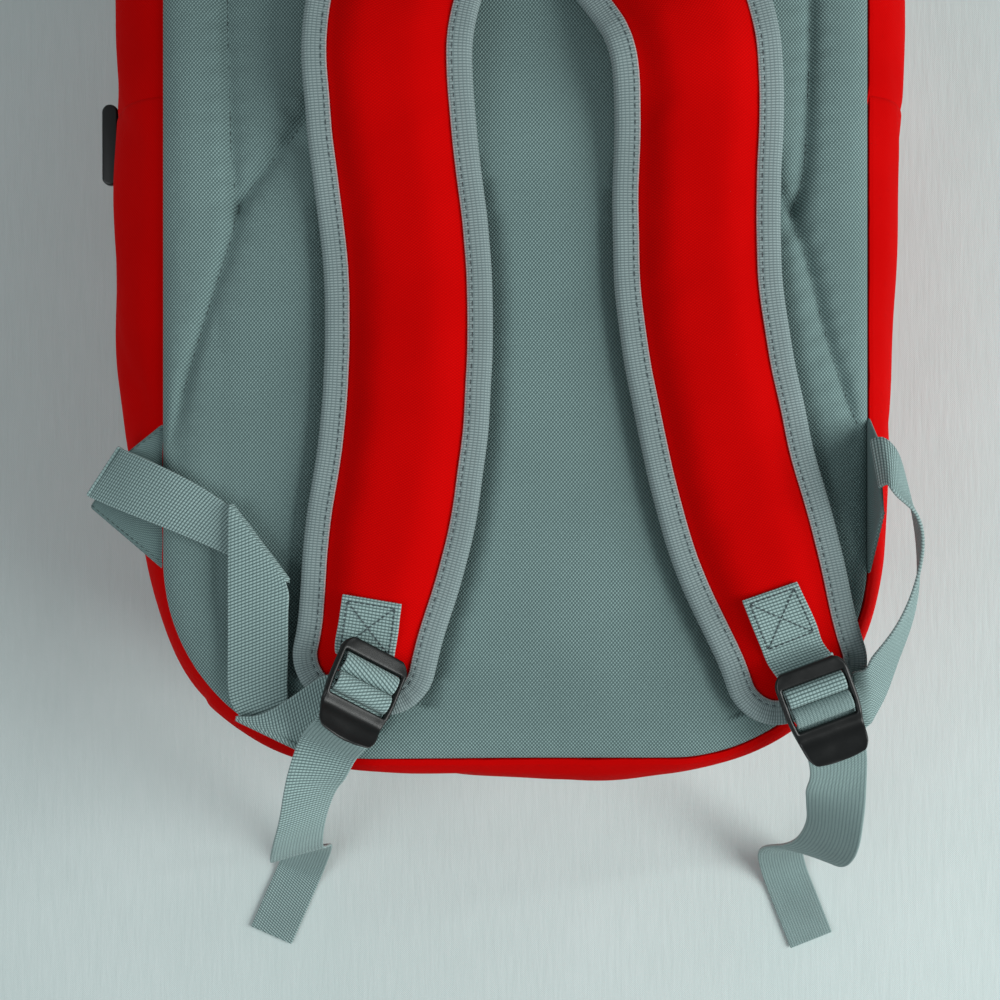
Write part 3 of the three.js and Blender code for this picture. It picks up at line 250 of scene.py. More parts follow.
# every piece is made in millimetres and brought to metres as it is finished
def finishPiece(name, bm, material, nodes=(), wall=0.0, side=-1.0, levels=0, bevel=0.0, outward=False):
    if outward:
        bmesh.ops.recalc_face_normals(bm, faces=bm.faces)
    bmesh.ops.scale(bm, vec=(mm, mm, mm), verts=bm.verts)
    mesh = bpy.data.meshes.new(name)
    bm.to_mesh(mesh)
    bm.free()
    for face in mesh.polygons:
        face.use_smooth = True
    piece = bpy.data.objects.new(name, mesh)
    scene.collection.objects.link(piece)
    mesh.materials.append(material)
    if wall:
        solid = piece.modifiers.new("wall", "SOLIDIFY")
        solid.thickness = wall * mm
        solid.offset = side
    if bevel:
        rounding = piece.modifiers.new("edges", "BEVEL")
        rounding.width = bevel * mm
        rounding.segments = 3
        rounding.limit_method = "ANGLE"
        rounding.angle_limit = math.radians(35)
    if levels:
        smooth = piece.modifiers.new("smooth", "SUBSURF")
        smooth.levels = levels
        smooth.render_levels = levels
    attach(piece, "root")
    if nodes:
        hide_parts(*nodes)
    return piece


# a sheet of faces laid by place(s, t); its weave runs with the measured lengths of the sheet
def clothGrid(columns, rows, place, span, flip=False):
    bm = bmesh.new()
    layer = bm.loops.layers.uv.new("weave")
    bmesh.ops.create_grid(bm, x_segments=columns, y_segments=rows, size=0.5)
    for face in bm.faces:
        for loop in face.loops:
            s, t = loop.vert.co.x + 0.5, loop.vert.co.y + 0.5
            loop[layer].uv = span(s, t)
    for vert in bm.verts:
        vert.co = place(vert.co.x + 0.5, vert.co.y + 0.5)
    if flip:
        bmesh.ops.reverse_faces(bm, faces=bm.faces)
    return bm


def smoothstep(value, low, high):
    share = min(1.0, max(0.0, (value - low) / (high - low)))
    return share * share * (3 - 2 * share)


def lerp(first, second, share):
    return first + (second - first) * share


def waver(x, y, z, size, seed=0.0):
    return noise.noise(Vector((x / size + seed, y / size, z / size)))


def splineAt(rows, place):
    # a smooth line through rows of numbers, at a place counted in rows
    last = len(rows) - 1
    i = min(last - 1, max(0, int(math.floor(place))))
    f = place - i
    a, b, c, d = rows[max(0, i - 1)], rows[i], rows[i + 1], rows[min(last, i + 2)]
    return [0.5 * (2 * q + (r - p) * f + (2 * p - 5 * q + 4 * r - s) * f * f + (3 * q - p - 3 * r + s) * f ** 3)
            for p, q, r, s in zip(a, b, c, d)]


# stitches: short thread ellipsoids laid end to end along a line over a surface
def sewRows(name, rows, material, pitch=3.0, length=2.3, thick=0.42):
    bm = bmesh.new()
    for points, ups in rows:
        lengths = [0.0]
        for a, b in zip(points, points[1:]):
            lengths.append(lengths[-1] + (b - a).length)
        count = int(lengths[-1] / pitch)
        k = 0
        for n in range(count):
            at = (n + 0.5) * lengths[-1] / count
            while k + 2 < len(points) and lengths[k + 1] < at:
                k += 1
            share = (at - lengths[k]) / max(1e-6, lengths[k + 1] - lengths[k])
            spot = points[k].lerp(points[k + 1], share)
            up = ups[k].lerp(ups[k + 1], share).normalized()
            along = (points[k + 1] - points[k]).normalized()
            across = up.cross(along).normalized()
            made = bmesh.ops.create_uvsphere(bm, u_segments=6, v_segments=4, radius=1.0)
            shape = Matrix((along * (length / 2), across * (thick / 2), up * (thick * 0.42))).transposed().to_4x4()
            bmesh.ops.transform(bm, matrix=Matrix.Translation(spot) @ shape, verts=made["verts"])
    return finishPiece(name, bm, material)


# the body's shape
bodyShape = {
    "panelWidth": 297, "panelHeight": 415, "depth": 195, "flareLeft": 33, "flareRight": 23, "flareEnd": 16,
    "cornerBase": 85, "cornerTop": 74, "topArch": 10, "wall": 2.0, "seamGap": 0.4, "zipEnd": 76,
}
halfWidth = bodyShape["panelWidth"] / 2
halfHeight = bodyShape["panelHeight"] / 2
depth = bodyShape["depth"]
wallOut = bodyShape["wall"] + bodyShape["seamGap"]
cornerBase = bodyShape["cornerBase"]
cornerTop = bodyShape["cornerTop"]


def archAt(x, y):
    return bodyShape["topArch"] * (y / halfHeight) ** 4 * (1 - (x / halfWidth) ** 2) if y > 0 else 0.0


# how far the walls stand out round the outline: the sides draw in towards the base
flareRows = [
    (0, 10.3), (0.1, 12.9), (0.24, 15.4), (0.31, 16.8), (0.39, 17.9), (0.46, 18.9), (0.53, 19.6), (0.6, 20),
    (0.67, 21.2), (1, 23), (1.5, 19.5), (2, 16), (3, 16), (3.5, 24.5), (4, 30.7), (4.33, 31.7), (4.54, 32.7),
    (4.69, 31), (4.77, 28.1), (4.86, 22.1), (4.96, 16.8), (5.07, 12.2), (5.19, 9.9), (5.25, 9.9), (5.37, 11.9),
    (5.46, 10.9), (5.54, 8.2), (5.72, 7.8), (5.91, 5), (6.07, 6.1), (6.25, 6.9), (6.44, 8.8), (6.66, 11.4),
    (6.8, 12.5), (6.95, 10.2), (7.08, 7.2), (7.2, 5.8), (7.26, 5.8), (7.38, 8), (7.75, 9), (7.93, 9.2), (8, 10.3),
]


def flareRow(p):
    p %= 8
    for before, after in zip(flareRows, flareRows[1:]):
        if p <= after[0]:
            return lerp(before[1], after[1], (p - before[0]) / (after[0] - before[0]))
    return flareRows[-1][1]


flareTable = [sum(flareRow(n / 100 + k / 50) for k in range(-5, 6)) / 11 for n in range(801)]


def flareAt(p):
    place = (p % 8) * 100
    return lerp(flareTable[int(place)], flareTable[min(800, int(place) + 1)], place - int(place))


def outlineAt(p):
    p %= 8
    stretch, share = int(p), p - int(p)
    corners = [(halfWidth - cornerTop, halfHeight - cornerTop, cornerTop),
               (-halfWidth + cornerTop, halfHeight - cornerTop, cornerTop),
               (-halfWidth + cornerBase, -halfHeight + cornerBase, cornerBase),
               (halfWidth - cornerBase, -halfHeight + cornerBase, cornerBase)]
    if stretch % 2:
        cx, cy, radius = corners[stretch // 2]
        angle = math.radians(90 * (stretch // 2) + 90 * share)
        nx, ny = math.cos(angle), math.sin(angle)
        x, y = cx + radius * nx, cy + radius * ny
    else:
        angle = math.radians(45 * stretch)
        nx, ny = math.cos(angle), math.sin(angle)
        before, after = corners[(stretch // 2 - 1) % 4], corners[stretch // 2]
        x = lerp(before[0] + before[2] * nx, after[0] + after[2] * nx, share)
        y = lerp(before[1] + before[2] * ny, after[1] + after[2] * ny, share)
    return x, y + archAt(x, y), nx, ny


wallProfile = [(1.0, 0.0), (0.965, 0.42), (0.89, 0.82), (0.77, 1.0), (0.7, 1.0), (0.64, 0.985),
               (0.45, 0.93), (0.24, 0.84), (0.08, 0.62), (0.0144, 0.34)]
zipTopRow, zipFootRow, lastRow = 4, 5, 9
wallFolds = [  # place, height, length, width, slant, depth
    (4.32, 0.9, 0.16, 0.07, 0.45, 0.16), (4.62, 0.88, 0.18, 0.07, 0.5, 0.14), (0.55, 0.5, 0.2, 0.1, -0.4, 0.14),
    (6.5, 0.55, 0.3, 0.12, 0.1, 0.18), (4.5, 0.3, 0.3, 0.1, 0.2, 0.1), (2.5, 0.4, 0.3, 0.12, 0.1, 0.16),
]
fineFolds = [  # shallow creases pulled from the seams
    (4.15, 0.93, 0.1, 0.028, 0.9, 0.07), (4.27, 0.9, 0.09, 0.03, 1.1, 0.08), (4.71, 0.92, 0.12, 0.03, 0.8, 0.08),
    (4.86, 0.86, 0.12, 0.035, -0.6, 0.07), (0.2, 0.9, 0.1, 0.03, -0.8, 0.06), (0.75, 0.88, 0.12, 0.03, 0.7, 0.06),
    (6.2, 0.85, 0.12, 0.04, 0.5, 0.08), (6.8, 0.8, 0.12, 0.04, -0.5, 0.08), (5.5, 0.7, 0.14, 0.05, 0.5, 0.1),
    (7.5, 0.7, 0.14, 0.05, -0.5, 0.1), (1.5, 0.85, 0.2, 0.05, 0.3, 0.09), (3.5, 0.85, 0.2, 0.05, -0.3, 0.09),
    (2.2, 0.5, 0.2, 0.04, 0.4, 0.08), (2.8, 0.3, 0.2, 0.04, -0.4, 0.08), (6.6, 0.3, 0.2, 0.04, 0.3, 0.08),
]


def foldAt(p, height, folds):
    pressed = 0.0
    for place, level, long, wide, slant, deep in folds:
        along = ((p - place + 4) % 8 - 4) / long
        across = (height - level - slant * ((p - place + 4) % 8 - 4)) / wide
        pressed += deep * math.exp(-along * along - across * across)
    return pressed


baseSeams = (5.46, 7.54)  # the base piece is lapped over the sides at these two seams


seamRow = 0.3  # above this row the wall is turned in to the seam


def wallPoint(p, row, out=0.0, soft=1.0):
    x, y, nx, ny = outlineAt(p)
    turned = max(0.0, 1 - row / seamRow)
    height, reach = splineAt(wallProfile, max(0.0, row - seamRow) * lastRow / (lastRow - seamRow))
    height -= 0.021 - 0.004 * turned ** 2
    height = max(height, wallProfile[-1][0])
    offset = wallOut + flareAt(p) * reach + out - 1.9 * turned ** 1.6
    inside = smoothstep(height, 0.02, 0.12) * smoothstep(1.0 - height, 0.0, 0.06)
    offset -= bodyShape["flareEnd"] * foldAt(p, height, wallFolds) * inside
    offset -= soft * bodyShape["flareEnd"] * foldAt(p, height, fineFolds) * inside
    offset += soft * 1.5 * inside * waver(x, y, height * depth, 46.0)
    pucker = math.exp(-((1 - height) * depth / 7.0) ** 2) + math.exp(-((height - 0.0144) * depth / 8.0) ** 2)
    offset += soft * 0.45 * pucker * waver(x, y, 0.0, 7.0, 5.0) * min(1.0, (1 - height) * 60)
    if baseSeams[0] < p % 8 < baseSeams[1]:
        offset += 1.1 * smoothstep(1.0 - height, 0.01, 0.05)
    return Vector((x + nx * offset, y + ny * offset, height * depth))


outlineSteps = 800
outlineLengths = [0.0]
for n in range(2 * outlineSteps):
    a, b = wallPoint(8 * n / outlineSteps, 3, 0, 0), wallPoint(8 * (n + 1) / outlineSteps, 3, 0, 0)
    outlineLengths.append(outlineLengths[-1] + (b - a).length)
wallDrop = 1.12 * depth


def outlineLength(p):
    place = p / 8 * outlineSteps
    i = int(place)
    return lerp(outlineLengths[i], outlineLengths[i + 1], place - i)


def wallPiece(name, node, start, end, fromRow, toRow, columns, rows, under=0.0):
    def rowAt(t):
        return toRow + (fromRow - toRow) * (1 - (1 - t) ** 1.6)

    def place(s, t):
        ends = min(s, 1 - s) * (end - start) * sideLength
        return wallPoint(lerp(start, end, s), rowAt(t), -under * (1 - smoothstep(ends, 1.5, 7.0)))

    def span(s, t):
        return (outlineLength(lerp(start, end, s)) * mm, rowAt(t) / lastRow * wallDrop * mm)

    bm = clothGrid(columns, rows, place, span, flip=True)
    return finishPiece(name, bm, redCloth, [node], wall=bodyShape["wall"], side=-1.0, levels=1)


sideLength = bodyShape["panelHeight"] - cornerBase - cornerTop
zipShare = (bodyShape["zipEnd"] + halfHeight - cornerBase) / sideLength
seamShare = bodyShape["seamGap"] / sideLength
lap = 5 / sideLength
wallPiece("rearGusset", "gusset_rear", zipShare - lap, 5 - zipShare + lap, 0, zipTopRow, 210, 20, 1.6)
wallPiece("frontGusset", "gusset_front", zipShare - lap, 5 - zipShare + lap, zipFootRow, lastRow, 210, 22, 1.6)
wallPiece("lowerGusset", "gusset_lower", 5 - zipShare + seamShare, 8 + zipShare - seamShare, 0, lastRow, 330, 48)
print("walls sewn")


# padding: a closed copy is remeshed and blown up as cloth, and its top then shapes the sewn cover
def puffedSurface(node, voxel, shrink, floorLevel, pressure, cap):
    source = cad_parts[node]
    bm = bmesh.new()
    bm.from_mesh(source.data)
    bmesh.ops.remove_doubles(bm, verts=bm.verts, dist=1e-5)
    for vert in bm.verts:  # starts a little flatter than it ends
        vert.co.z = floorLevel(vert.co) + (vert.co.z - floorLevel(vert.co)) * shrink
    mesh = bpy.data.meshes.new(node + "_foam")
    bm.to_mesh(mesh)
    bm.free()
    foam = bpy.data.objects.new(node + "_foam", mesh)
    scene.collection.objects.link(foam)
    remesh = foam.modifiers.new("voxels", "REMESH")
    remesh.mode = "VOXEL"
    remesh.voxel_size = voxel
    graph = bpy.context.evaluated_depsgraph_get()
    bare = bpy.data.meshes.new_from_object(foam.evaluated_get(graph))
    foam.modifiers.clear()
    foam.data = bare
    start = [vert.co.copy() for vert in bare.vertices]
    blown = foam.modifiers.new("blown", "CLOTH")
    blown.settings.quality = 5
    blown.settings.mass = 0.3
    blown.settings.tension_stiffness = 12
    blown.settings.compression_stiffness = 12
    blown.settings.shear_stiffness = 5
    blown.settings.bending_stiffness = 1.5
    blown.settings.use_pressure = True
    blown.settings.uniform_pressure_force = pressure
    blown.settings.effector_weights.gravity = 0
    blown.point_cache.frame_start = 1
    blown.point_cache.frame_end = 20
    for step in range(1, 21):
        scene.frame_set(step)
    graph = bpy.context.evaluated_depsgraph_get()
    result = bpy.data.meshes.new_from_object(foam.evaluated_get(graph))
    foam.modifiers.clear()
    for vert, first, moved in zip(bare.vertices, start, result.vertices):
        step = moved.co - first
        if step.length > cap:
            step *= cap / step.length
        vert.co = first + step
    scene.frame_set(1)
    bm = bmesh.new()
    bm.from_mesh(foam.data)
    tree = BVHTree.FromBMesh(bm)
    bm.free()
    bpy.data.objects.remove(foam)
    return tree


def topOf(tree, x, y, fallback):
    hit = tree.ray_cast(Vector((x * mm, y * mm, 0.4)), Vector((0, 0, -1)))
    return hit[0].z / mm if hit[0] is not None else fallback


# the padded back panel
panelShape = {"crown": 6.0, "rim": 19.0, "edgeDrop": 2.6, "channelDepth": 4.8, "channelHalf": 3.0, "foam": 8,
              "overhang": 0.8, "leftOverhang": 3.8, "pressed": 4.2}
quiltLines = [
    [(-149.5, -77), (-139.1, -38.8), (-128.5, -5), (-122.6, 14), (-120.1, 26.8), (-113, 37), (-107.4, 44),
     (-92, 63), (-70, 100), (-57, 140), (-53.5, 166), (-50.5, 206)],
    [(-120.1, 26.8), (-121.6, 36), (-122.6, 48), (-123, 63), (-124, 100), (-124.7, 166), (-124.7, 180)],
    [(147.5, -74), (140, -55.7), (131.6, -30.3), (123.1, 3.5), (118, 18), (116.8, 24.7), (111.7, 33.1), (105, 45),
     (92, 63), (70, 100), (57, 140), (53.5, 166), (50.5, 206)],
    [(116.8, 24.7), (119.5, 33), (121.6, 43), (122.8, 63), (124, 100), (124.7, 166), (124.7, 180)],
]
quiltCurves = [[Vector((*splineAt(line, k / 6), 0)) for k in range(6 * (len(line) - 1) + 1)] for line in quiltLines]


def halfWidthAt(y):
    corner = cornerTop if y > 0 else cornerBase
    into = max(0.0, abs(y) - (halfHeight - corner))
    return halfWidth - corner + math.sqrt(max(0.0, corner * corner - into * into))


def edgeDistance(x, y):
    corner = cornerTop if y > 0 else cornerBase
    dx = abs(x) - (halfWidth - corner)
    dy = abs(y) - (halfHeight - corner)
    if dx > 0 and dy > 0:
        return corner - math.hypot(dx, dy)
    return corner - max(dx, dy)


def nearestOnLine(curve, x, y):
    best, where = 1e9, 0.0
    run = 0.0
    for a, b in zip(curve, curve[1:]):
        if abs(a.x - x) > 34 and abs(b.x - x) > 34 or abs(a.y - y) > 34 and abs(b.y - y) > 34:
            run += (b - a).length
            continue
        d = b - a
        f = min(1.0, max(0.0, ((x - a.x) * d.x + (y - a.y) * d.y) / d.length_squared))
        distance = math.hypot(a.x + f * d.x - x, a.y + f * d.y - y)
        if distance < best:
            best, where = distance, run + f * d.length
        run += d.length
    return best, where


# shoulder straps
strapShape = {"width": 67, "tipWidth": 57, "tipRound": 20, "thick": 13, "belly": 3.5, "edge": 4.4, "hump": 13,
              "binding": 9, "bindingThick": 1.1, "clear": 0.75, "seat": 1.0}
strapRoutes = {
    "left": [(-0.269, 0.819, 0), (-0.28, 0.71, 0), (-0.314, 0.62, 0.34), (-0.35, 0.52, 0.85), (-0.367, 0.42, 0.9),
             (-0.36, 0.3, 0.4), (-0.345, 0.19, 0.1), (-0.324, 0.07, 0), (-0.312, -0.05, 0), (-0.312, -0.169, 0),
             (-0.32, -0.289, 0), (-0.338, -0.409, 0), (-0.366, -0.528, 0), (-0.397, -0.648, 0), (-0.429, -0.768, 0),
             (-0.467, -0.887, 0)],
    "right": [(0.276, 0.819, 0), (0.294, 0.71, 0), (0.364, 0.62, 0.34), (0.445, 0.52, 0.85), (0.488, 0.42, 0.9),
              (0.503, 0.3, 0.4), (0.501, 0.19, 0.1), (0.501, 0.07, 0), (0.508, -0.05, 0), (0.531, -0.169, 0),
              (0.564, -0.289, 0), (0.601, -0.409, 0), (0.648, -0.528, 0), (0.704, -0.648, 0), (0.762, -0.768, 0),
              (0.822, -0.901, 0)],
}
strapMid = depth + panelShape["crown"] + strapShape["seat"] + strapShape["belly"]


class StrapLine:  # the strap's middle line, measured from its tip
    def __init__(self, rows):
        rows = [(a * halfWidth, b * halfHeight, strapMid + strapShape["hump"] * c) for a, b, c in reversed(rows)]
        fine = 16
        self.points = [Vector(splineAt(rows, k / fine)) for k in range(fine * (len(rows) - 1) + 1)]
        self.lengths = [0.0]
        for a, b in zip(self.points, self.points[1:]):
            self.lengths.append(self.lengths[-1] + (b - a).length)
        self.length = self.lengths[-1]

    def at(self, distance):
        distance = min(self.length, max(0.0, distance))
        k = 0
        low, high = 0, len(self.lengths) - 1
        while high - low > 1:
            k = (low + high) // 2
            low, high = (k, high) if self.lengths[k] <= distance else (low, k)
        share = (distance - self.lengths[low]) / (self.lengths[high] - self.lengths[low])
        a = self.points[max(0, low - 6)]
        b = self.points[min(len(self.points) - 1, high + 6)]
        along = (b - a).normalized()
        return self.points[low].lerp(self.points[high], share), along, Vector((along.y, -along.x, 0)).normalized()

    def half(self, distance):
        slim = smoothstep(distance, strapShape["tipRound"], 4 * strapShape["tipRound"])
        half = lerp(strapShape["tipWidth"] / 2, strapShape["width"] / 2, slim)
        into = max(0.0, strapShape["tipRound"] - distance)
        return half - strapShape["tipRound"] + math.sqrt(max(0.0, strapShape["tipRound"] ** 2 - into * into))

    def away(self, x, y):  # how far a spot on the panel lies outside the strap, less than nothing under it
        best, where = 1e9, 0
        for k in range(0, len(self.points), 8):
            gap = (self.points[k].x - x) ** 2 + (self.points[k].y - y) ** 2
            if gap < best:
                best, where = gap, k
        lifted = (self.points[where].z - strapMid) / strapShape["hump"]
        return math.sqrt(best) - self.half(self.lengths[where]) + 40 * min(1.0, max(0.0, 1.6 * lifted))

    def swell(self, distance):
        brim = 1.1 * strapShape["binding"]
        return smoothstep(distance, brim, 5 * brim) * smoothstep(self.length - distance, 3 * brim, 6 * brim)


straps = {label: StrapLine(rows) for label, rows in strapRoutes.items()}


panelTree = puffedSurface("back_panel", 5 * mm, 0.8, lambda co: 0.187, 3.5, 3 * mm)
print("panel padding blown")


def overhangAt(x):
    return lerp(panelShape["leftOverhang"], panelShape["overhang"], smoothstep(x, -halfWidth, 0))


def panelHeightAt(x, y):
    into = edgeDistance(x, y) + overhangAt(x)
    rim = min(1.0, max(0.0, into) / panelShape["rim"])
    shoulder = math.sqrt(1 - (1 - rim) ** 2.2)
    puffed = topOf(panelTree, x, y, depth) - depth
    crown = min(panelShape["crown"], lerp(panelShape["crown"] * 0.86, puffed, 0.5 * smoothstep(into, 12, 34)))
    z = depth - panelShape["edgeDrop"] + (crown + panelShape["edgeDrop"]) * shoulder
    z += 0.5 * waver(x, y, 0, 60.0, 3.0) * rim
    for curve in quiltCurves:
        off, along = nearestOnLine(curve, x, y)
        if off < 32:
            draw = math.exp(-(off / panelShape["channelHalf"]) ** 1.35)
            slump = 0.28 * math.exp(-(off / 13.0) ** 2)
            pinch = 0.16 * math.exp(-((off - 5) / 5.0) ** 2) * math.sin(turn * along / 9.5 + 2 * waver(x, y, 0, 20))
            z -= panelShape["channelDepth"] * (draw * 0.75 + slump + pinch * 0.6) * smoothstep(into, 1, 12)
    z += 0.3 * math.exp(-((into - 6) / 5.0) ** 2) * waver(x, y, 0, 7.0, 9.0)
    for side, strap in straps.items():  # the straps press into the padding
        z -= panelShape["pressed"] * (1 - smoothstep(strap.away(x, y), -4.0, 11.0)) * smoothstep(into, 2, 16)
    return min(z, depth + panelShape["crown"] + 0.2)


def easedEnds(t, sharp=0.72):
    return lerp(t, 0.5 - 0.5 * math.cos(math.pi * t), sharp)


def panelPlace(s, t):
    y = (2 * easedEnds(t) - 1) * halfHeight
    x = (2 * easedEnds(s, 0.5) - 1) * halfWidthAt(y)
    grown = 1 + overhangAt(x) / halfWidth
    return x * grown, y * (1 + panelShape["overhang"] / halfHeight)


def panelCover(s, t):
    x, y = panelPlace(s, t)
    return Vector((x, y + archAt(x, y), panelHeightAt(x, y)))


bm = clothGrid(190, 250, panelCover, lambda s, t: tuple(v * mm for v in panelPlace(s, t)))
rimEdges = [edge for edge in bm.edges if edge.is_boundary]
skirt = bmesh.ops.extrude_edge_only(bm, edges=rimEdges)
skirtVerts = [v for v in skirt["geom"] if isinstance(v, bmesh.types.BMVert)]
for vert in skirtVerts:
    vert.co.x *= 1 - 4.2 / halfWidth
    vert.co.y *= 1 - 4.2 / halfHeight
    vert.co.z = depth - panelShape["foam"]
bmesh.ops.contextual_create(bm, geom=[e for e in bm.edges if e.is_boundary])
backPanel = finishPiece("backPanel", bm, panelCloth, ["back_panel"], outward=True)

seamRows = []
for curve in quiltCurves:
    fine = [p for p in curve if edgeDistance(p.x, p.y) > 4]
    seamRows.append(([Vector((p.x, p.y + archAt(p.x, p.y), panelHeightAt(p.x, p.y) + 0.12)) for p in fine],
                     [Vector((0, 0, 1))] * len(fine)))
sewRows("panelStitches", seamRows, greyThread, pitch=3.1, length=2.2, thick=0.5)
print("back panel covered")


def strapPad(label):
    strap = straps[label]
    low = strapMid * mm - 0.002

    def middle(co):  # the brim's level under each point of the pad
        nearest = min(range(0, len(strap.points), 4), key=lambda k: (strap.points[k].x * mm - co.x) ** 2
                      + (strap.points[k].y * mm - co.y) ** 2)
        return strap.points[nearest].z * mm

    tree = puffedSurface("strap_pad_" + label, 4 * mm, 0.84, middle, 4.0, 1.9 * mm)
    edge = strapShape["edge"] / 2
    high = strapShape["thick"] - strapShape["belly"]

    def swellAcross(inset):
        inset /= strapShape["binding"]
        return smoothstep(inset, 0.95, 2.7) ** 0.75

    def section(s, t):
        distance = strap.length * (0.02 * s + 0.98 * s ** 1.25)
        at, along, across = strap.at(distance)
        half = strap.half(distance)
        top = t < 0.5
        share = 4 * t - 1 if top else 3 - 4 * t
        x = half * math.sin(share * math.pi / 2) if abs(share) < 1 else half * share
        inset = half - abs(x)
        spot = at + across * x
        swell = strap.swell(distance) * swellAcross(inset)
        if not top:
            return spot + Vector((0, 0, -edge * (1 if inset > 0.01 else 0) - (strapShape["belly"] - edge) * swell))
        lifted = edge + (high - edge) * swell
        puffed = topOf(tree, spot.x, spot.y, at.z + lifted) - at.z
        lifted = lerp(lifted, min(max(puffed, edge * 0.8), high), 0.55 * smoothstep(inset, 9, 16))
        ripple = 0.3 * waver(spot.x, spot.y, 0, 15.0, 2.0) * smoothstep(inset, 8, 12)
        pulled = -0.5 * math.exp(-((inset - 11) / 3.5) ** 2) * (0.6 + 0.8 * waver(spot.x, spot.y, 0, 8.0, 7.0))
        return spot + Vector((0, 0, (lifted if inset > 0.01 else 0) + (ripple + pulled) * swell))

    def span(s, t):
        distance = strap.length * (0.02 * s + 0.98 * s ** 1.25)
        share = 4 * t - 1 if t < 0.5 else 3 - 4 * t
        return (distance * mm, strap.half(distance) * math.sin(min(1, max(-1, share)) * math.pi / 2) * mm)

    bm = clothGrid(170, 64, section, span)
    bmesh.ops.remove_doubles(bm, verts=bm.verts, dist=0.02)
    bmesh.ops.holes_fill(bm, edges=[e for e in bm.edges if e.is_boundary], sides=200)
    pad = finishPiece("strapPad_" + label, bm, redCloth, ["strap_pad_" + label], outward=True)
    return section


# the tape folded over the strap's edge, from its upper inner edge round to its lower one
bindingSection = [(-9.0, 3.0), (-6.0, 3.15), (-3.0, 3.2), (-0.6, 3.0), (0.95, 2.0), (1.35, 0.0), (0.95, -2.0),
                  (-0.6, -3.0), (-3.0, -3.1), (-6.0, -3.05), (-9.0, -3.0)]


def strapBinding(label):
    strap = straps[label]
    tipSteps = 22
    distances = [strapShape["tipRound"] * (1 - math.cos(math.pi / 2 * k / tipSteps)) for k in range(tipSteps + 1)]
    bodySteps = 100
    distances += [lerp(strapShape["tipRound"], strap.length, k / bodySteps) for k in range(1, bodySteps + 1)]
    edges = {side: [] for side in (1, -1)}
    for side in (1, -1):
        for distance in distances:
            at, along, across = strap.at(distance)
            edges[side].append(at + across * side * strap.half(distance))
    tipRow = [edges[1][0].lerp(edges[-1][0], k / 6) for k in range(1, 6)]
    path = edges[1][::-1] + tipRow + edges[-1]
    lengths = [0.0]
    for a, b in zip(path, path[1:]):
        lengths.append(lengths[-1] + (b - a).length)
    outs = []
    for i in range(len(path)):
        along = path[min(len(path) - 1, i + 1)] - path[max(0, i - 1)]
        outs.append(Vector((-along.y, along.x, 0)).normalized())
    middle = strap.at(strap.length * 0.5)[0]
    if outs[30].dot(middle - path[30]) > 0:
        outs = [-out for out in outs]
    last = len(path) - 1

    def place(s, t):
        i = min(last - 1, int(s * last))
        f = s * last - i
        base = path[i].lerp(path[i + 1], f)
        out = outs[i].lerp(outs[i + 1], f).normalized()
        reach, up = splineAt(bindingSection, t * (len(bindingSection) - 1))
        where = lerp(lengths[i], lengths[i + 1], f)
        puck = 0.16 * math.sin(turn * where / 6.3 + 1.5 * noise.noise(Vector((where / 30, 0, 0))))
        up += (puck + 0.22 * noise.noise(Vector((where / 14, t * 3, 4)))) * (1 if up > 0 else -1) * min(1, abs(up) / 3)
        reach += 0.25 * noise.noise(Vector((where / 18, 2, 1)))
        return base + out * reach + Vector((0, 0, up))

    def span(s, t):
        i = min(last - 1, int(s * last))
        across = t * 24.0
        return (lerp(lengths[i], lengths[i + 1], s * last - i) * mm, across * mm)

    bm = clothGrid(last, 20, place, span)
    finishPiece("strapBinding_" + label, bm, bindingTape, ["strap_binding_" + label],
                wall=0.7, side=0.0, levels=1, outward=False)
    rows = []
    for level in (1.9 / 24,):
        points = [place(k / (2 * last), level) + Vector((0, 0, 0.42)) for k in range(2 * last + 1)]
        rows.append((points, [Vector((0, 0, 1))] * len(points)))
    sewRows("bindingStitches_" + label, rows, darkThread, pitch=3.3, length=2.5, thick=0.5)
    return place


for label in ("left", "right"):
    strapPad(label)
    strapBinding(label)
    print("strap padded and bound:", label)


# tapes: a ruling is one line across the tape, from its edge a to its edge b
tapeShape = {"width": 25, "thick": 1.4, "foldRadius": 1.5}
wrapAcross, wrapHigh = 3.6, 2.9
upperBar, lowerBar, barHeight = 8.9, 0.3, 0.9
underBar = 0.2 - tapeShape["thick"] / 2 - 0.3


def rulingAt(centre, direction, width=tapeShape["width"]):
    half = direction.normalized() * (width / 2)
    return centre - half, centre + half


def overPanel(x, y, lift):
    return Vector((x * halfWidth, y * halfHeight, depth + lift * strapShape["thick"]))


def routeRuling(x, y, lift, ruling, wide, tilt=0.0):
    angle = math.radians(ruling)
    return rulingAt(overPanel(x, y, lift), Vector((math.cos(angle), math.sin(angle), tilt * math.cos(angle))),
                    tapeShape["width"] * wide)


def foldOver(ruling, side, radius=tapeShape["foldRadius"]):
    a, b = ruling
    along = (b - a)
    along.z = 0
    along.normalize()
    out = Vector((-along.y, along.x, 0)) * side
    made = []
    for i in range(9):
        angle = math.pi * i / 8
        shift = out * radius * (math.sin(angle) - 1)
        shift.z = -radius * math.cos(angle)
        made.append((a + shift, b + shift))
    return made


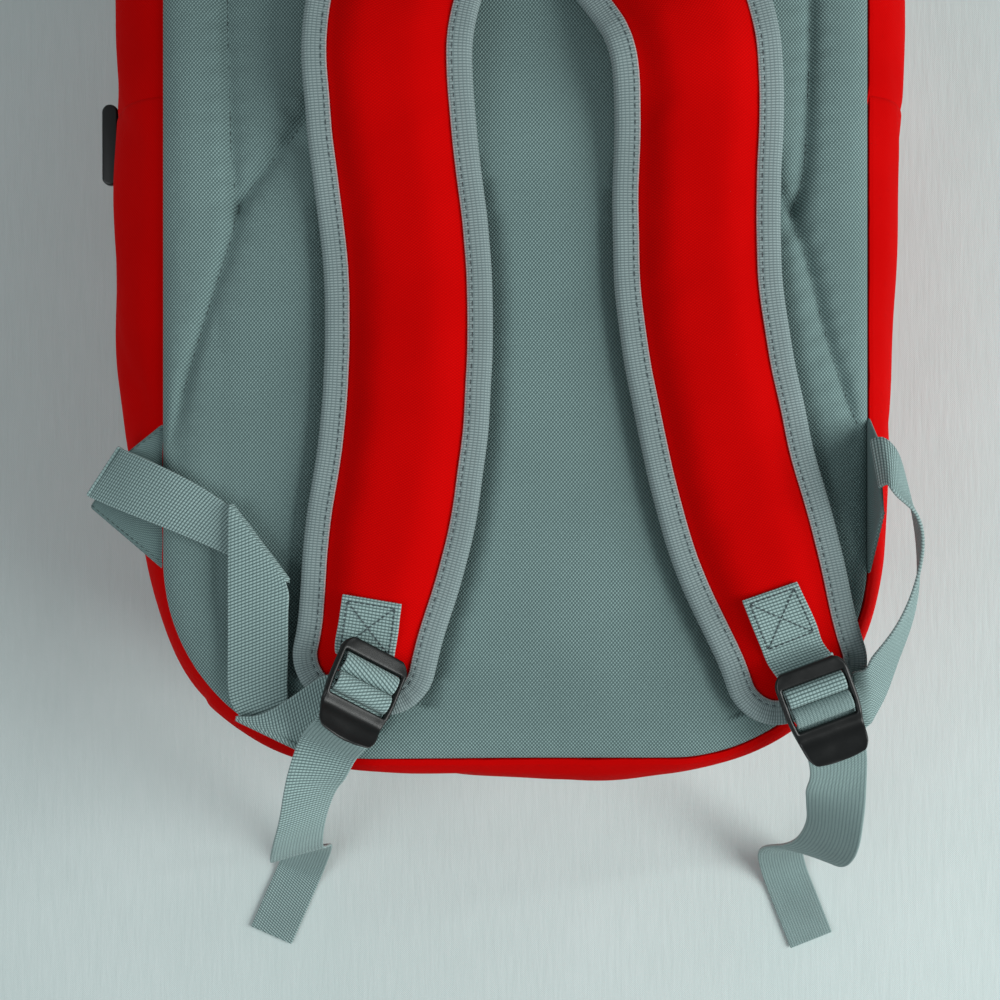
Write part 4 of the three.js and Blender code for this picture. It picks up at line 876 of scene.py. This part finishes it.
def tapePiece(name, rulings, material, nodes, thick=tapeShape["thick"], columns=8, levels=2, splits=2):
    fine = []
    rows = [tuple(a) + tuple(b) for a, b in rulings]
    for k in range(splits * (len(rows) - 1) + 1):
        values = splineAt(rows, k / splits)
        fine.append((Vector(values[:3]), Vector(values[3:])))
    for end, beside in ((0, 1), (-1, -2)):  # a line close to each end keeps the cut corners square
        (a, b), (c, d) = fine[end], fine[beside]
        fine.insert(beside if end == 0 else -1, (a.lerp(c, 0.12), b.lerp(d, 0.12)))
    across = [0.0, *[lerp(0.035, 0.965, k / (columns - 2)) for k in range(columns - 1)], 1.0]
    runs = []  # the lengths along both edges, which keep the ribs square to the tape where it folds
    for side in (0, 1):
        run = [0.0]
        for first, second in zip(fine, fine[1:]):
            run.append(run[-1] + (second[side] - first[side]).length)
        runs.append(run)
    last = len(fine) - 1

    def place(s, t):
        a, b = fine[int(round(s * last))]
        return a.lerp(b, across[int(round(t * columns))])

    def span(s, t):
        row, share = int(round(s * last)), across[int(round(t * columns))]
        return (lerp(runs[0][row], runs[1][row], share) * mm, (share - 0.5) * tapeShape["width"] * mm)

    bm = clothGrid(last, columns, place, span)
    return finishPiece(name, bm, material, nodes, wall=thick, side=0.0, levels=levels)


buckleSpots = {  # turn, roll and pitch are the moulding's own lie; slid is how far the tapes lie aside in it
    "left": {"x": -0.429, "y": -0.857, "lift": 1.77, "lean": -27, "tip": 13, "turn": -30.3, "roll": 18, "pitch": -26,
             "shift": (-1.6, 1.0, 3.4), "slid": 0.4},
    "right": {"x": 0.837, "y": -0.886, "lift": 1.75, "lean": 20.7, "tip": 6, "turn": 20.7, "roll": -2, "pitch": 4,
              "shift": (0, 0, 0), "slid": 0.2},
}


def buckleMatrix(label):
    spot = buckleSpots[label]
    place = Matrix.Translation(overPanel(spot["x"], spot["y"], spot["lift"]))
    return place @ Matrix.Rotation(math.radians(spot["lean"]), 4, "Z") @ Matrix.Rotation(math.radians(spot["tip"]), 4, "X")


def mouldingMatrix(label):
    spot = buckleSpots[label]
    place = Matrix.Translation(buckleMatrix(label).translation + Vector(spot["shift"]))
    return (place @ Matrix.Rotation(math.radians(spot["turn"]), 4, "Z") @ Matrix.Rotation(math.radians(spot["roll"]), 4, "Y")
            @ Matrix.Rotation(math.radians(spot["pitch"]), 4, "X"))


def wrapOver(centre, start, end, steps):
    made = []
    for i in range(steps + 1):
        angle = math.radians(lerp(start, end, i / steps))
        made.append((centre + wrapAcross * math.cos(angle), barHeight + wrapHigh * math.sin(angle)))
    return made


tabLine = [(17.5, -1.6), (14.6, -1.2), (12.9, -0.5), *wrapOver(upperBar, 0, 180, 8), (5.9, -1.5), (7.4, -3),
           (10.5, -3.5), (20, -3.8)]
webUnder = -4.9
webLine = [(-0.8, webUnder), (1.6, webUnder + 0.4), (3.6, -2.4), *wrapOver(lowerBar, 0, 180, 8), (-3.5, -0.4), (-6, -0.9),
           (-12, -1.0), (-18, -1.3)]
buckleFans = {
    "left": [(-19.5, -3, 1.3, -16.3), (-15.8, -1.6, 7.4, -10.6), (-13.3, -1, 11.4, -4.8)],
    "right": [(17, -15, 17.8, 9), (8.5, -17, 17, 5.6), (-2.4, -14.4, 15.8, 2.8), (-9.6, -8, 14.4, 0.6)],
}


def lineInBuckle(matrix, line, slid=0.0, curl=0.0):
    half = tapeShape["width"] / 2
    made = []
    for y, z in line:
        share = smoothstep(z, -0.5, barHeight + wrapHigh)
        made.append((matrix @ Vector(((slid + curl) * share - half, y, z)), matrix @ Vector((slid * share + half, y, z))))
    return made


def fanInBuckle(matrix, rows):
    return [(matrix @ Vector((ax, ay, webUnder)), matrix @ Vector((bx, by, webUnder))) for ax, ay, bx, by in rows]


def leftWeb():
    return [
        routeRuling(-1.166, -0.434, -0.59, -126, 1.03, 0.312),
        *foldOver(routeRuling(-1.205, -0.412, -0.53, -125.7, 1.05, 0.312), -1),
        routeRuling(-1.106, -0.44, 0.17, -104.8, 1, 0.2), routeRuling(-0.989, -0.472, 0.63, -81.3, 1.09),
        routeRuling(-0.857, -0.515, 0.76, -66.1, 1.3), *foldOver(routeRuling(-0.727, -0.557, 0.98, -53.1, 1.6), 1),
        routeRuling(-0.731, -0.62, 1.1, -34, 1.24), routeRuling(-0.734, -0.685, 1.02, -11, 1.03),
        routeRuling(-0.736, -0.786, 0.86, -6, 1.02), routeRuling(-0.737, -0.885, 0.74, -13, 1.04),
        *foldOver(routeRuling(-0.703, -0.95, 0.72, -27, 1.3, -0.12), -1, 2.0),
        routeRuling(-0.66, -0.945, 0.8, -38, 1.08, -0.22), routeRuling(-0.597, -0.919, 0.92, -56, 1, -0.36),
    ]


rightWebRows = [
    (0.977, -0.402, 2.0, 0, 0.8, -0.6), (0.9966, -0.394, 2.3, 0.1, 0.8, -0.6), (1.02, -0.413, 2.42, 0.3, 0.62, -0.72),
    (1.047, -0.448, 2.2, 0.33, 0.35, -0.87), (1.084, -0.487, 1.9, 0.22, 0.1, -0.97), (1.106, -0.53, 1.7, 0.16, 0.05, -0.98),
    (1.114, -0.588, 1.5, 0.22, 0, -0.97), (1.104, -0.655, 1.4, 0.34, -0.05, -0.93), (1.078, -0.718, 1.33, 0.42, -0.16, -0.89),
    (1.04, -0.775, 1.3, 0.4, -0.42, -0.8), (1.003, -0.826, 1.3, 0.4, -0.68, -0.6), (0.976, -0.862, 1.33, 0.22, -0.87, -0.42),
]


def rightWeb():
    made = []
    for x, y, lift, ax, ay, az in rightWebRows:
        made.append(rulingAt(overPanel(x, y, lift), Vector((-ax, -ay, -az))))
    return made


tailRows = {  # across, past the edge, height, twist
    "left": [(-0.533, -0.034, 1.078, 4), (-0.567, 0.02, 1.055, 20), (-0.592, 0.063, 1.035, 38),
             (-0.613, 0.113, 1.005, 46), (-0.636, 0.162, 0.965, 46), (-0.662, 0.217, 0.87, 42),
             (-0.687, 0.265, 0.72, 36), (-0.707, 0.303, 0.51, 30), (-0.727, 0.34, 0.3, 24),
             (-0.755, 0.385, 0.13, 16), (-0.795, 0.45, 0.035, 6)],
    "right": [(0.897, 0.0095, 1.072, 0), (0.8956, 0.0535, 1.05, -12), (0.9, 0.085, 1.03, -24),
              (0.905, 0.1215, 1.005, -33), (0.91, 0.16, 0.975, -39), (0.916, 0.205, 0.9, -38),
              (0.9226, 0.25, 0.78, -34), (0.929, 0.287, 0.615, -28), (0.939, 0.32, 0.43, -22),
              (0.953, 0.357, 0.255, -16), (0.976, 0.402, 0.115, -10), (1.01, 0.46, 0.03, -4)],
}


def tailRulings(label, matrix):
    across = (matrix.to_3x3() @ Vector((1, 0, 0))).normalized()
    rows = tailRows[label]
    points = [Vector((x * halfWidth, -halfHeight * (1 + out), depth * height)) for x, out, height, twist in rows]
    lie = 0.3 + tapeShape["thick"] / 2
    way = points[-1] - points[-3]
    way.z = 0
    way.normalize()
    landing = points[-1] + way * 9
    landing.z = lie
    everything = points + [landing, landing + way * 12, landing + way * 24, landing + way * 36]
    made = []
    for i, point in enumerate(everything):
        along = (everything[min(i + 1, len(everything) - 1)] - everything[max(i - 1, 0)]).normalized()
        flat = Vector((-along.y, along.x, 0)).normalized()
        if flat.dot(across) < 0:
            flat.negate()
        direction = across.lerp(flat, smoothstep(i, -0.6, 2.5)).normalized()
        twist = math.radians(rows[i][3]) if i < len(rows) else 0.0
        made.append(rulingAt(point, Matrix.Rotation(-twist, 3, along) @ direction))
    return made


tabCorners = {  # the ends of each ruling across the tab, from its sewn end to the buckle
    "left": [((-0.491, -0.659), (-0.326, -0.679)), ((-0.498, -0.691), (-0.332, -0.708)),
             ((-0.506, -0.724), (-0.337, -0.738)), ((-0.516, -0.758), (-0.345, -0.769)),
             ((-0.513, -0.785), (-0.351, -0.801))],
    "right": [((0.617, -0.672), (0.770, -0.634)), ((0.635, -0.705), (0.789, -0.663)),
              ((0.654, -0.738), (0.810, -0.693)), ((0.675, -0.771), (0.832, -0.726)),
              ((0.693, -0.801), (0.848, -0.758))],
}


def onStrap(strap, spot, lift):
    near = min(range(int(strap.length / 2)), key=lambda d: (strap.at(d)[0].xy - spot.xy).length)
    rise = lerp(strapShape["edge"] / 2, strapShape["thick"] - strapShape["belly"], strap.swell(near))
    return Vector((spot.x, spot.y, strap.at(near)[0].z + rise + lift))


def tabOnStrap(label):
    made = []
    for (ax, ay), (bx, by) in tabCorners[label]:
        a, b = Vector((ax * halfWidth, ay * halfHeight, 0)), Vector((bx * halfWidth, by * halfHeight, 0))
        middle = onStrap(straps[label], (a + b) / 2, 1.5)
        made.append((Vector((a.x, a.y, middle.z - 0.5)), Vector((b.x, b.y, middle.z - 0.5))))
    return made


def boxStitches(rulings, low, high, inset=0.1):
    # a sewn box with a cross in it, along the tape from ruling low to ruling high
    def spot(along, across):
        place = lerp(low, high, along)
        i = min(len(rulings) - 2, int(place))
        a, b = (p.lerp(q, place - i) for p, q in zip(rulings[i], rulings[i + 1]))
        up = (b - a).cross(rulings[i + 1][0] - rulings[i][0]).normalized()
        up *= 1 if up.z > 0 else -1
        return a.lerp(b, across) + up * (tapeShape["thick"] / 2 + 0.25), up

    corners = [(0.1, inset), (0.1, 1 - inset), (0.94, 1 - inset), (0.94, inset)]
    rows = []
    for i, j in [(0, 1), (1, 2), (2, 3), (3, 0), (0, 2), (1, 3)]:
        line = [spot(lerp(corners[i][0], corners[j][0], k / 10), lerp(corners[i][1], corners[j][1], k / 10)) for k in range(11)]
        rows.append(([point for point, up in line], [up for point, up in line]))
    return rows


# a moulded ladder buckle: a rounded plate with a window, two bars, and a lip that is hollowed and curls up
buckleShape = {"half": 15.6, "top": 20, "topRound": 6.5, "foot": 20.5, "footRound": 5, "slim": 2.6, "round": 1.15,
               "window": (-5.4, 13.2), "inner": 12.95, "bar": 1.6}


def bucklePiece(label, matrix):
    shape = buckleShape
    low, high = shape["window"]
    near = [0, 0.06, 0.25, 0.6, 1.05]  # how the rows crowd towards every edge
    rail = [shape["half"] - d for d in near] + [14.3] + [shape["inner"] + d for d in near[::-1]]
    across = [side * u for side in (-1, 1) for u in rail + [11, 8.5, 6, 3]] + [0]
    across.sort()
    levels = ([shape["top"] - d for d in near] + [17.6, 16.2, 15] + [high + d for d in near[::-1]] + [10, 6.5, 3, 0, -3]
              + [low - d for d in near] + [-7.5, -8.6, -9.8, -11.2, -12.7, -14.2, -15.6, -16.9, -18.1]
              + [-shape["foot"] + d for d in near[::-1]])

    def lipHeight(u, v):
        reached = min(1.0, max(0.0, (low - v) / (shape["foot"] + low)))
        hollow = 1.5 * math.sin(math.pi * min(1.0, reached * 1.7 + 0.12))
        thumb = 0.7 * math.exp(-(u / 6.5) ** 2) * smoothstep(reached, 0.25, 0.8)
        return 1.5 - hollow - thumb + 4.0 * reached ** 2.2

    def place(u, v, side):
        top = min(1.0, max(0.0, v - (shape["top"] - shape["topRound"])) / shape["topRound"])
        foot = min(1.0, max(0.0, -v - (shape["foot"] - shape["footRound"])) / shape["footRound"])
        half = shape["half"] - shape["slim"] * smoothstep(-v, -2, 21)
        half -= 0.85 * shape["topRound"] * (1 - math.sqrt(1 - top * top))
        half -= 0.8 * shape["footRound"] * (1 - math.sqrt(1 - foot * foot))
        rim = min(shape["half"] - abs(u), shape["top"] - v, v + shape["foot"])
        if low <= v <= high:
            rim = min(rim, abs(u) - shape["inner"])
        elif abs(u) < shape["inner"]:
            rim = min(rim, v - high if v > high else low - v)
        else:
            rim = min(rim, math.hypot(abs(u) - shape["inner"], v - high if v > high else low - v))
        rounding = 1 - min(1.0, max(0.0, rim) / shape["round"])
        railShare = smoothstep(abs(u), 9.5, 13.2)
        lipped = smoothstep(-v, 4, 12)
        middle = lerp(lerp(1.7, 1.45, railShare), lipHeight(u, v), lipped)
        thick = lerp(lerp(2.7, 3.7, railShare * (1 - smoothstep(v, 13, 18))), 2.3, lipped)
        z = middle + side * thick / 2 * math.sqrt(max(0.0, 1 - rounding * rounding))
        bowed = 1.1 * (1 - (u / shape["half"]) ** 2) * smoothstep(-v, 12, 20)
        return Vector((u * half / shape["half"], v - bowed, z))

    bm = bmesh.new()
    for side in (1, -1):
        sheet = [[bm.verts.new(place(u, v, side)) for u in across] for v in levels]
        for i in range(len(levels) - 1):
            for j in range(len(across) - 1):
                u, v = (across[j] + across[j + 1]) / 2, (levels[i] + levels[i + 1]) / 2
                if abs(u) > shape["inner"] or not low < v < high:
                    corners = [sheet[i][j], sheet[i + 1][j], sheet[i + 1][j + 1], sheet[i][j + 1]]
                    bm.faces.new(corners if side > 0 else corners[::-1])
    bmesh.ops.delete(bm, geom=[vert for vert in bm.verts if not vert.link_faces], context="VERTS")
    bmesh.ops.remove_doubles(bm, verts=bm.verts, dist=0.004)
    for bar in (upperBar, lowerBar):
        made = bmesh.ops.create_cone(bm, cap_ends=True, segments=14, radius1=shape["bar"], radius2=shape["bar"], depth=28)
        turned = Matrix.Translation((0, bar, barHeight)) @ Matrix.Rotation(math.pi / 2, 4, "Y")
        bmesh.ops.transform(bm, matrix=turned, verts=made["verts"])
    bmesh.ops.transform(bm, matrix=matrix, verts=bm.verts)
    return finishPiece("buckleBody_" + label, bm, blackPlastic, ["buckle_" + label], levels=1,
                       outward=True)


for label in ("left", "right"):
    matrix, moulding = buckleMatrix(label), mouldingMatrix(label)
    slid = buckleSpots[label]["slid"]
    bucklePiece(label, moulding)
    sewn = tabOnStrap(label)
    tapePiece("strapTab_" + label, sewn + lineInBuckle(moulding, tabLine, slid), webbing,
              ["strap_tab_" + label], levels=1)
    sewRows("tabStitches_" + label, boxStitches(sewn, 0, 3.3 if label == "right" else 3.6), darkThread,
            pitch=2.3, length=2.0, thick=0.65)
    route = leftWeb() if label == "left" else rightWeb()
    tapePiece("adjusterTape_" + label,
              route + fanInBuckle(matrix, buckleFans[label]) + lineInBuckle(moulding, webLine, slid, 0.6 * slid)
              + tailRulings(label, matrix),
              webbing, ["adjuster_web_" + label], levels=1)
print("tapes threaded")


# anchor wings
wingShape = {"thick": 2.0, "lift": 0.9}


def wingPiece(label, corners):
    a, b, c, d = corners  # along the seam from a to b, the far edge from d to c

    def place(s, t):
        low = a.lerp(b, s)
        high = d.lerp(c, s)
        spot = low.lerp(high, t)
        bow = 0.5 * math.sin(math.pi * s) * math.sin(math.pi * t)
        up = (b - a).cross(d - a).normalized()
        return spot + up * bow * (1 if up.z > 0 else -1)

    def span(s, t):
        return ((s * (b - a).length) * mm, (t * (d - a).length) * mm)

    bm = clothGrid(16, 12, place, span)
    finishPiece("anchorWing_" + label, bm, wingCloth, ["anchor_wing_" + label], wall=wingShape["thick"],
                side=0.0, levels=1)
    up = (b - a).cross(d - a).normalized()
    if up.z < 0 or (abs(up.z) < 0.3 and up.x * a.x < 0):
        up.negate()
    rows = []
    for s in (0.045, 0.955):
        points = [place(s, k / 8) + up * (wingShape["thick"] / 2 + 0.1) for k in range(9)]
        rows.append((points, [up] * 9))
    sewRows("wingStitches_" + label, rows, greyThread, pitch=2.8, length=2.0, thick=0.4)


wingLift = wingShape["lift"] / strapShape["thick"]
wingHalf = wingShape["thick"] / 2 / strapShape["thick"]
wingPiece("left", [overPanel(-1.006, -0.301, -0.28), overPanel(-1.006, -0.63, -0.28),
                   overPanel(-1.25, -0.487, wingLift + wingHalf - 0.85),
                   overPanel(-1.133, -0.374, wingLift + wingHalf - 0.5)])
wingPiece("right", [overPanel(1.008, -0.3, -0.2), overPanel(1.008, -0.63, -0.2),
                    overPanel(1.0, -0.5, 1.95), overPanel(0.998, -0.352, 1.4)])


# the yoke over the straps' top ends, and the grab handle
yokeRows = [(-1, 0), (-0.9, 0.12), (-0.865, 1), (-0.4, 1), (0, 1), (0.4, 1), (0.865, 1), (0.9, 0.12), (1, 0)]
yokeShape = {"reach": 97, "height": 163, "low": depth + 6 + 0.5 + 0.7, "high": strapMid + 2.2 + 0.75 + 1.1 + 4.2 + 0.7}
yokeRulings = [rulingAt(Vector((x * yokeShape["reach"], yokeShape["height"], lerp(yokeShape["low"], yokeShape["high"], up))),
                        Vector((0, 1, 0))) for x, up in yokeRows]
tapePiece("yokeTape", yokeRulings, webbing, ["yoke_tape"], levels=1, splits=3)
yokeStitches = []
for first, last in ((0, 1), (2, 3), (5, 6), (7, 8)):
    yokeStitches += boxStitches(yokeRulings, first, last)
sewRows("yokeStitches", yokeStitches, greyThread, pitch=2.8, length=2.1)

handleShape = {"span": 66, "rise": 27, "width": 22, "foot": 12, "thick": 2.1, "low": depth + 5.1 + 0.4 + 1.05}
handleFootY = halfHeight - 9 - handleShape["width"] / 2


def handleRuling(x, rise):
    return rulingAt(Vector((x, handleFootY + 0.25 * rise, handleShape["low"] + rise)),
                    Vector((0, 1, 0.15 * min(1, rise / 10))), handleShape["width"])


handleRulings = [handleRuling(-handleShape["span"] / 2 - handleShape["foot"], 0)]
for i in range(15):
    angle = math.pi * (1 - i / 14)
    handleRulings.append(handleRuling(handleShape["span"] / 2 * math.cos(angle), handleShape["rise"] * math.sin(angle)))
handleRulings.append(handleRuling(handleShape["span"] / 2 + handleShape["foot"], 0))
tapePiece("grabHandle", handleRulings, handleTape, ["grab_handle"], thick=handleShape["thick"], levels=1)
print("wings, yoke and handle sewn")


# the zip: tape, coil of teeth, slider and pull
zipHeight = depth * (0.7 + 0.64) / 2


def zipPoint(p, up, out):
    x, y, nx, ny = outlineAt(p)
    reach = wallOut + flareAt(p) * 0.9925 - bodyShape["flareEnd"] * foldAt(p, zipHeight / depth, wallFolds) + out
    return Vector((x + nx * reach, y + ny * reach, zipHeight + up))


zipStart, zipEnd = zipShare + 2 * seamShare, 5 - zipShare - 2 * seamShare
bm = clothGrid(200, 4, lambda s, t: zipPoint(lerp(zipStart, zipEnd, s), lerp(-5.3, 5.3, t), -0.5),
               lambda s, t: (outlineLength(lerp(zipStart, zipEnd, s)) * mm, lerp(-5.3, 5.3, t) * mm))
finishPiece("zipTape", bm, zipTape, ["zipper_tape"], wall=1.1, side=-1.0)
bm = bmesh.new()
coilStart, coilEnd = zipShare + 3 * seamShare, 5 - zipShare - 13 / sideLength
run, teeth = outlineLength(coilEnd) - outlineLength(coilStart), []
count = int(run / 1.7)
for n in range(count):
    p = lerp(coilStart, coilEnd, (n + 0.5) / count)
    spot = zipPoint(p, 1.05 if n % 2 else -1.05, 0.75)
    x, y, nx, ny = outlineAt(p)
    made = bmesh.ops.create_uvsphere(bm, u_segments=6, v_segments=4, radius=1.0)
    out = Vector((nx, ny, 0))
    along = Vector((-ny, nx, 0))
    shape = Matrix((along * 0.62, out * 0.72, Vector((0, 0, 1.35)))).transposed().to_4x4()
    bmesh.ops.transform(bm, matrix=Matrix.Translation(spot) @ shape, verts=made["verts"])
finishPiece("zipCoil", bm, blackPlastic, ["zipper_coil"])

sliderMiddle = zipPoint(5 - zipShare, 0, 0)
sliderX, sliderY = sliderMiddle.x, bodyShape["zipEnd"] + 6.5
bm = bmesh.new()
bmesh.ops.create_cube(bm, size=1.0)
bmesh.ops.scale(bm, vec=(4.2, 10.6, 8.6), verts=bm.verts)
bmesh.ops.bevel(bm, geom=bm.edges[:], offset=1.1, segments=3, profile=0.5, affect="EDGES", material=-1)
for vert in bm.verts:  # narrower towards the closed end
    vert.co.z *= 1 - 0.16 * (vert.co.y / 5.3)
bmesh.ops.translate(bm, vec=(sliderX - 2.5, sliderY, zipHeight), verts=bm.verts)
finishPiece("zipSlider", bm, blackPlastic, ["zipper_slider"])

pullShape = {"length": 38, "width": 7.5, "thick": 3.9}
bm = bmesh.new()
bmesh.ops.create_cone(bm, cap_ends=True, segments=28, radius1=3.75, radius2=3.75, depth=3.9)
for vert in bm.verts:  # the disc is drawn out to a long tab with round ends
    if vert.co.y < 0:
        vert.co.y -= pullShape["length"] - pullShape["width"]
bmesh.ops.bevel(bm, geom=[e for e in bm.edges if len(e.link_faces) == 2 and e.calc_face_angle(0) > 0.7], offset=1.0,
                segments=4, profile=0.5, affect="EDGES", material=-1)
bmesh.ops.translate(bm, vec=(sliderX - 5.6 - 3.75, sliderY + 5.5 - 3.75, zipHeight), verts=bm.verts)
finishPiece("zipPull", bm, blackPlastic, ["zipper_pull"])
print("zip fitted")


# bat sleeves on both sides
sleeveShape = {"foot": -halfHeight + cornerBase + 4, "length": 155, "bulge": 15, "clear": 0.7, "wall": 1.6}
sleeveArch = [(0.13, 0.0), (0.17, 0.55), (0.25, 0.9), (0.34, 1.0), (0.43, 0.9), (0.51, 0.55), (0.55, 0.0)]


def sideOut(side, y, height):
    share = (y + halfHeight - cornerBase) / sideLength
    flare = flareAt(share if side > 0 else 5 - share)
    for upper, lower in zip(wallProfile, wallProfile[1:]):
        if lower[0] <= height <= upper[0]:
            return wallOut + flare * lerp(lower[1], upper[1], (height - lower[0]) / (upper[0] - lower[0]))
    return wallOut


def sleevePiece(label, side):
    def place(s, t):
        y = sleeveShape["foot"] + sleeveShape["length"] * s
        height, bulge = splineAt(sleeveArch, t * (len(sleeveArch) - 1))
        closed = smoothstep(s, 0.0, 0.09) ** 0.6
        slack = 0.7 * waver(y, height * depth, side * 9, 30.0, 4.0) * bulge
        slack += 0.5 * bulge * math.exp(-((1 - s) / 0.03) ** 2)
        x = halfWidth + sideOut(side, y, height) + sleeveShape["clear"] + (sleeveShape["bulge"] * bulge * closed) + slack + 0.8
        return Vector((side * x, y, height * depth))

    def span(s, t):
        return (sleeveShape["length"] * s * mm, t * 95 * mm)

    bm = clothGrid(60, 28, place, span, flip=side > 0)
    finishPiece("batSleeve_" + label, bm, redCloth, ["bat_sleeve_" + label], wall=sleeveShape["wall"],
                side=0.0, levels=1)
    rows = []
    for s in (0.945, 0.93):
        points = [place(s, 0.03 + 0.94 * k / 30) + Vector((side * 0.95, 0, 0)) for k in range(31)]
        rows.append((points, [Vector((side, 0, 0))] * 31))
    sewRows("sleeveStitches_" + label, rows, redThread, pitch=3.0, length=2.2, thick=0.45)


sleevePiece("left", -1)
sleevePiece("right", 1)


# the front panel that the bag lies on
def frontPlace(s, t):
    # rings from the middle out to the seam
    p = 8 * s
    x, y, nx, ny = outlineAt(p)
    out = wallOut + flareAt(p) * 0.34
    reach = Vector((x + nx * out, y + ny * out, 0))
    return reach * (0.04 + 0.96 * t)


bm = clothGrid(224, 24, frontPlace, lambda s, t: (frontPlace(s, t).x * mm, frontPlace(s, t).y * mm))
bmesh.ops.remove_doubles(bm, verts=bm.verts, dist=0.01)
inner = [e for e in bm.edges if e.is_boundary and (e.verts[0].co.length < 30)]
bmesh.ops.contextual_create(bm, geom=inner)
for vert in bm.verts:
    vert.co.z = 1.2
finishPiece("frontPanel", bm, redCloth, ["front_panel"], wall=2.3, side=0.0, outward=True)
print("sleeves and front panel sewn")


# floor, light and camera
bm = bmesh.new()
bmesh.ops.create_grid(bm, x_segments=40, y_segments=40, size=1.6)
for vert in bm.verts:
    vert.co.z = -0.0006
mesh = bpy.data.meshes.new("floor")
bm.to_mesh(mesh)
bm.free()
floor = bpy.data.objects.new("floor", mesh)
scene.collection.objects.link(floor)
mesh.materials.append(floorFinish("floorCloth"))

lightSpecs = [  # name, place, aim, size, power, colour
    ("window", (1.5, -0.35, 1.2), (0.0, -0.1, 0.1), 1.3, 35.5, (0.965, 1.0, 0.985)),
    ("side", (-0.95, -0.45, 1.3), (0.0, -0.05, 0.1), 1.0, 6.8, (0.93, 0.98, 1.0)),
]
for name, place, aim, size, power, tint in lightSpecs:
    lamp = bpy.data.lights.new(name, "AREA")
    lamp.shape = "SQUARE"
    lamp.size = size
    lamp.energy = power
    lamp.color = tint
    lampObject = bpy.data.objects.new(name, lamp)
    lampObject.location = place
    lampObject.rotation_euler = (Vector(aim) - Vector(place)).to_track_quat("-Z", "Y").to_euler()
    scene.collection.objects.link(lampObject)
world = bpy.data.worlds.new("room")
scene.world = world
world.use_nodes = True
world.node_tree.nodes["Background"].inputs[0].default_value = (0.86, 0.93, 0.95, 1)
world.node_tree.nodes["Background"].inputs[1].default_value = 0.27

cameraSpec = {"place": (-8 * mm, -98 * mm, 810 * mm), "wide": 416.0, "away": 600.0}
eye = bpy.data.cameras.new("camera")
eye.sensor_width = 36
eye.lens = 36 * cameraSpec["away"] / cameraSpec["wide"]
eye.clip_start = 0.01
camera = bpy.data.objects.new("camera", eye)
camera.location = cameraSpec["place"]
scene.collection.objects.link(camera)
scene.camera = camera
print("stage set")
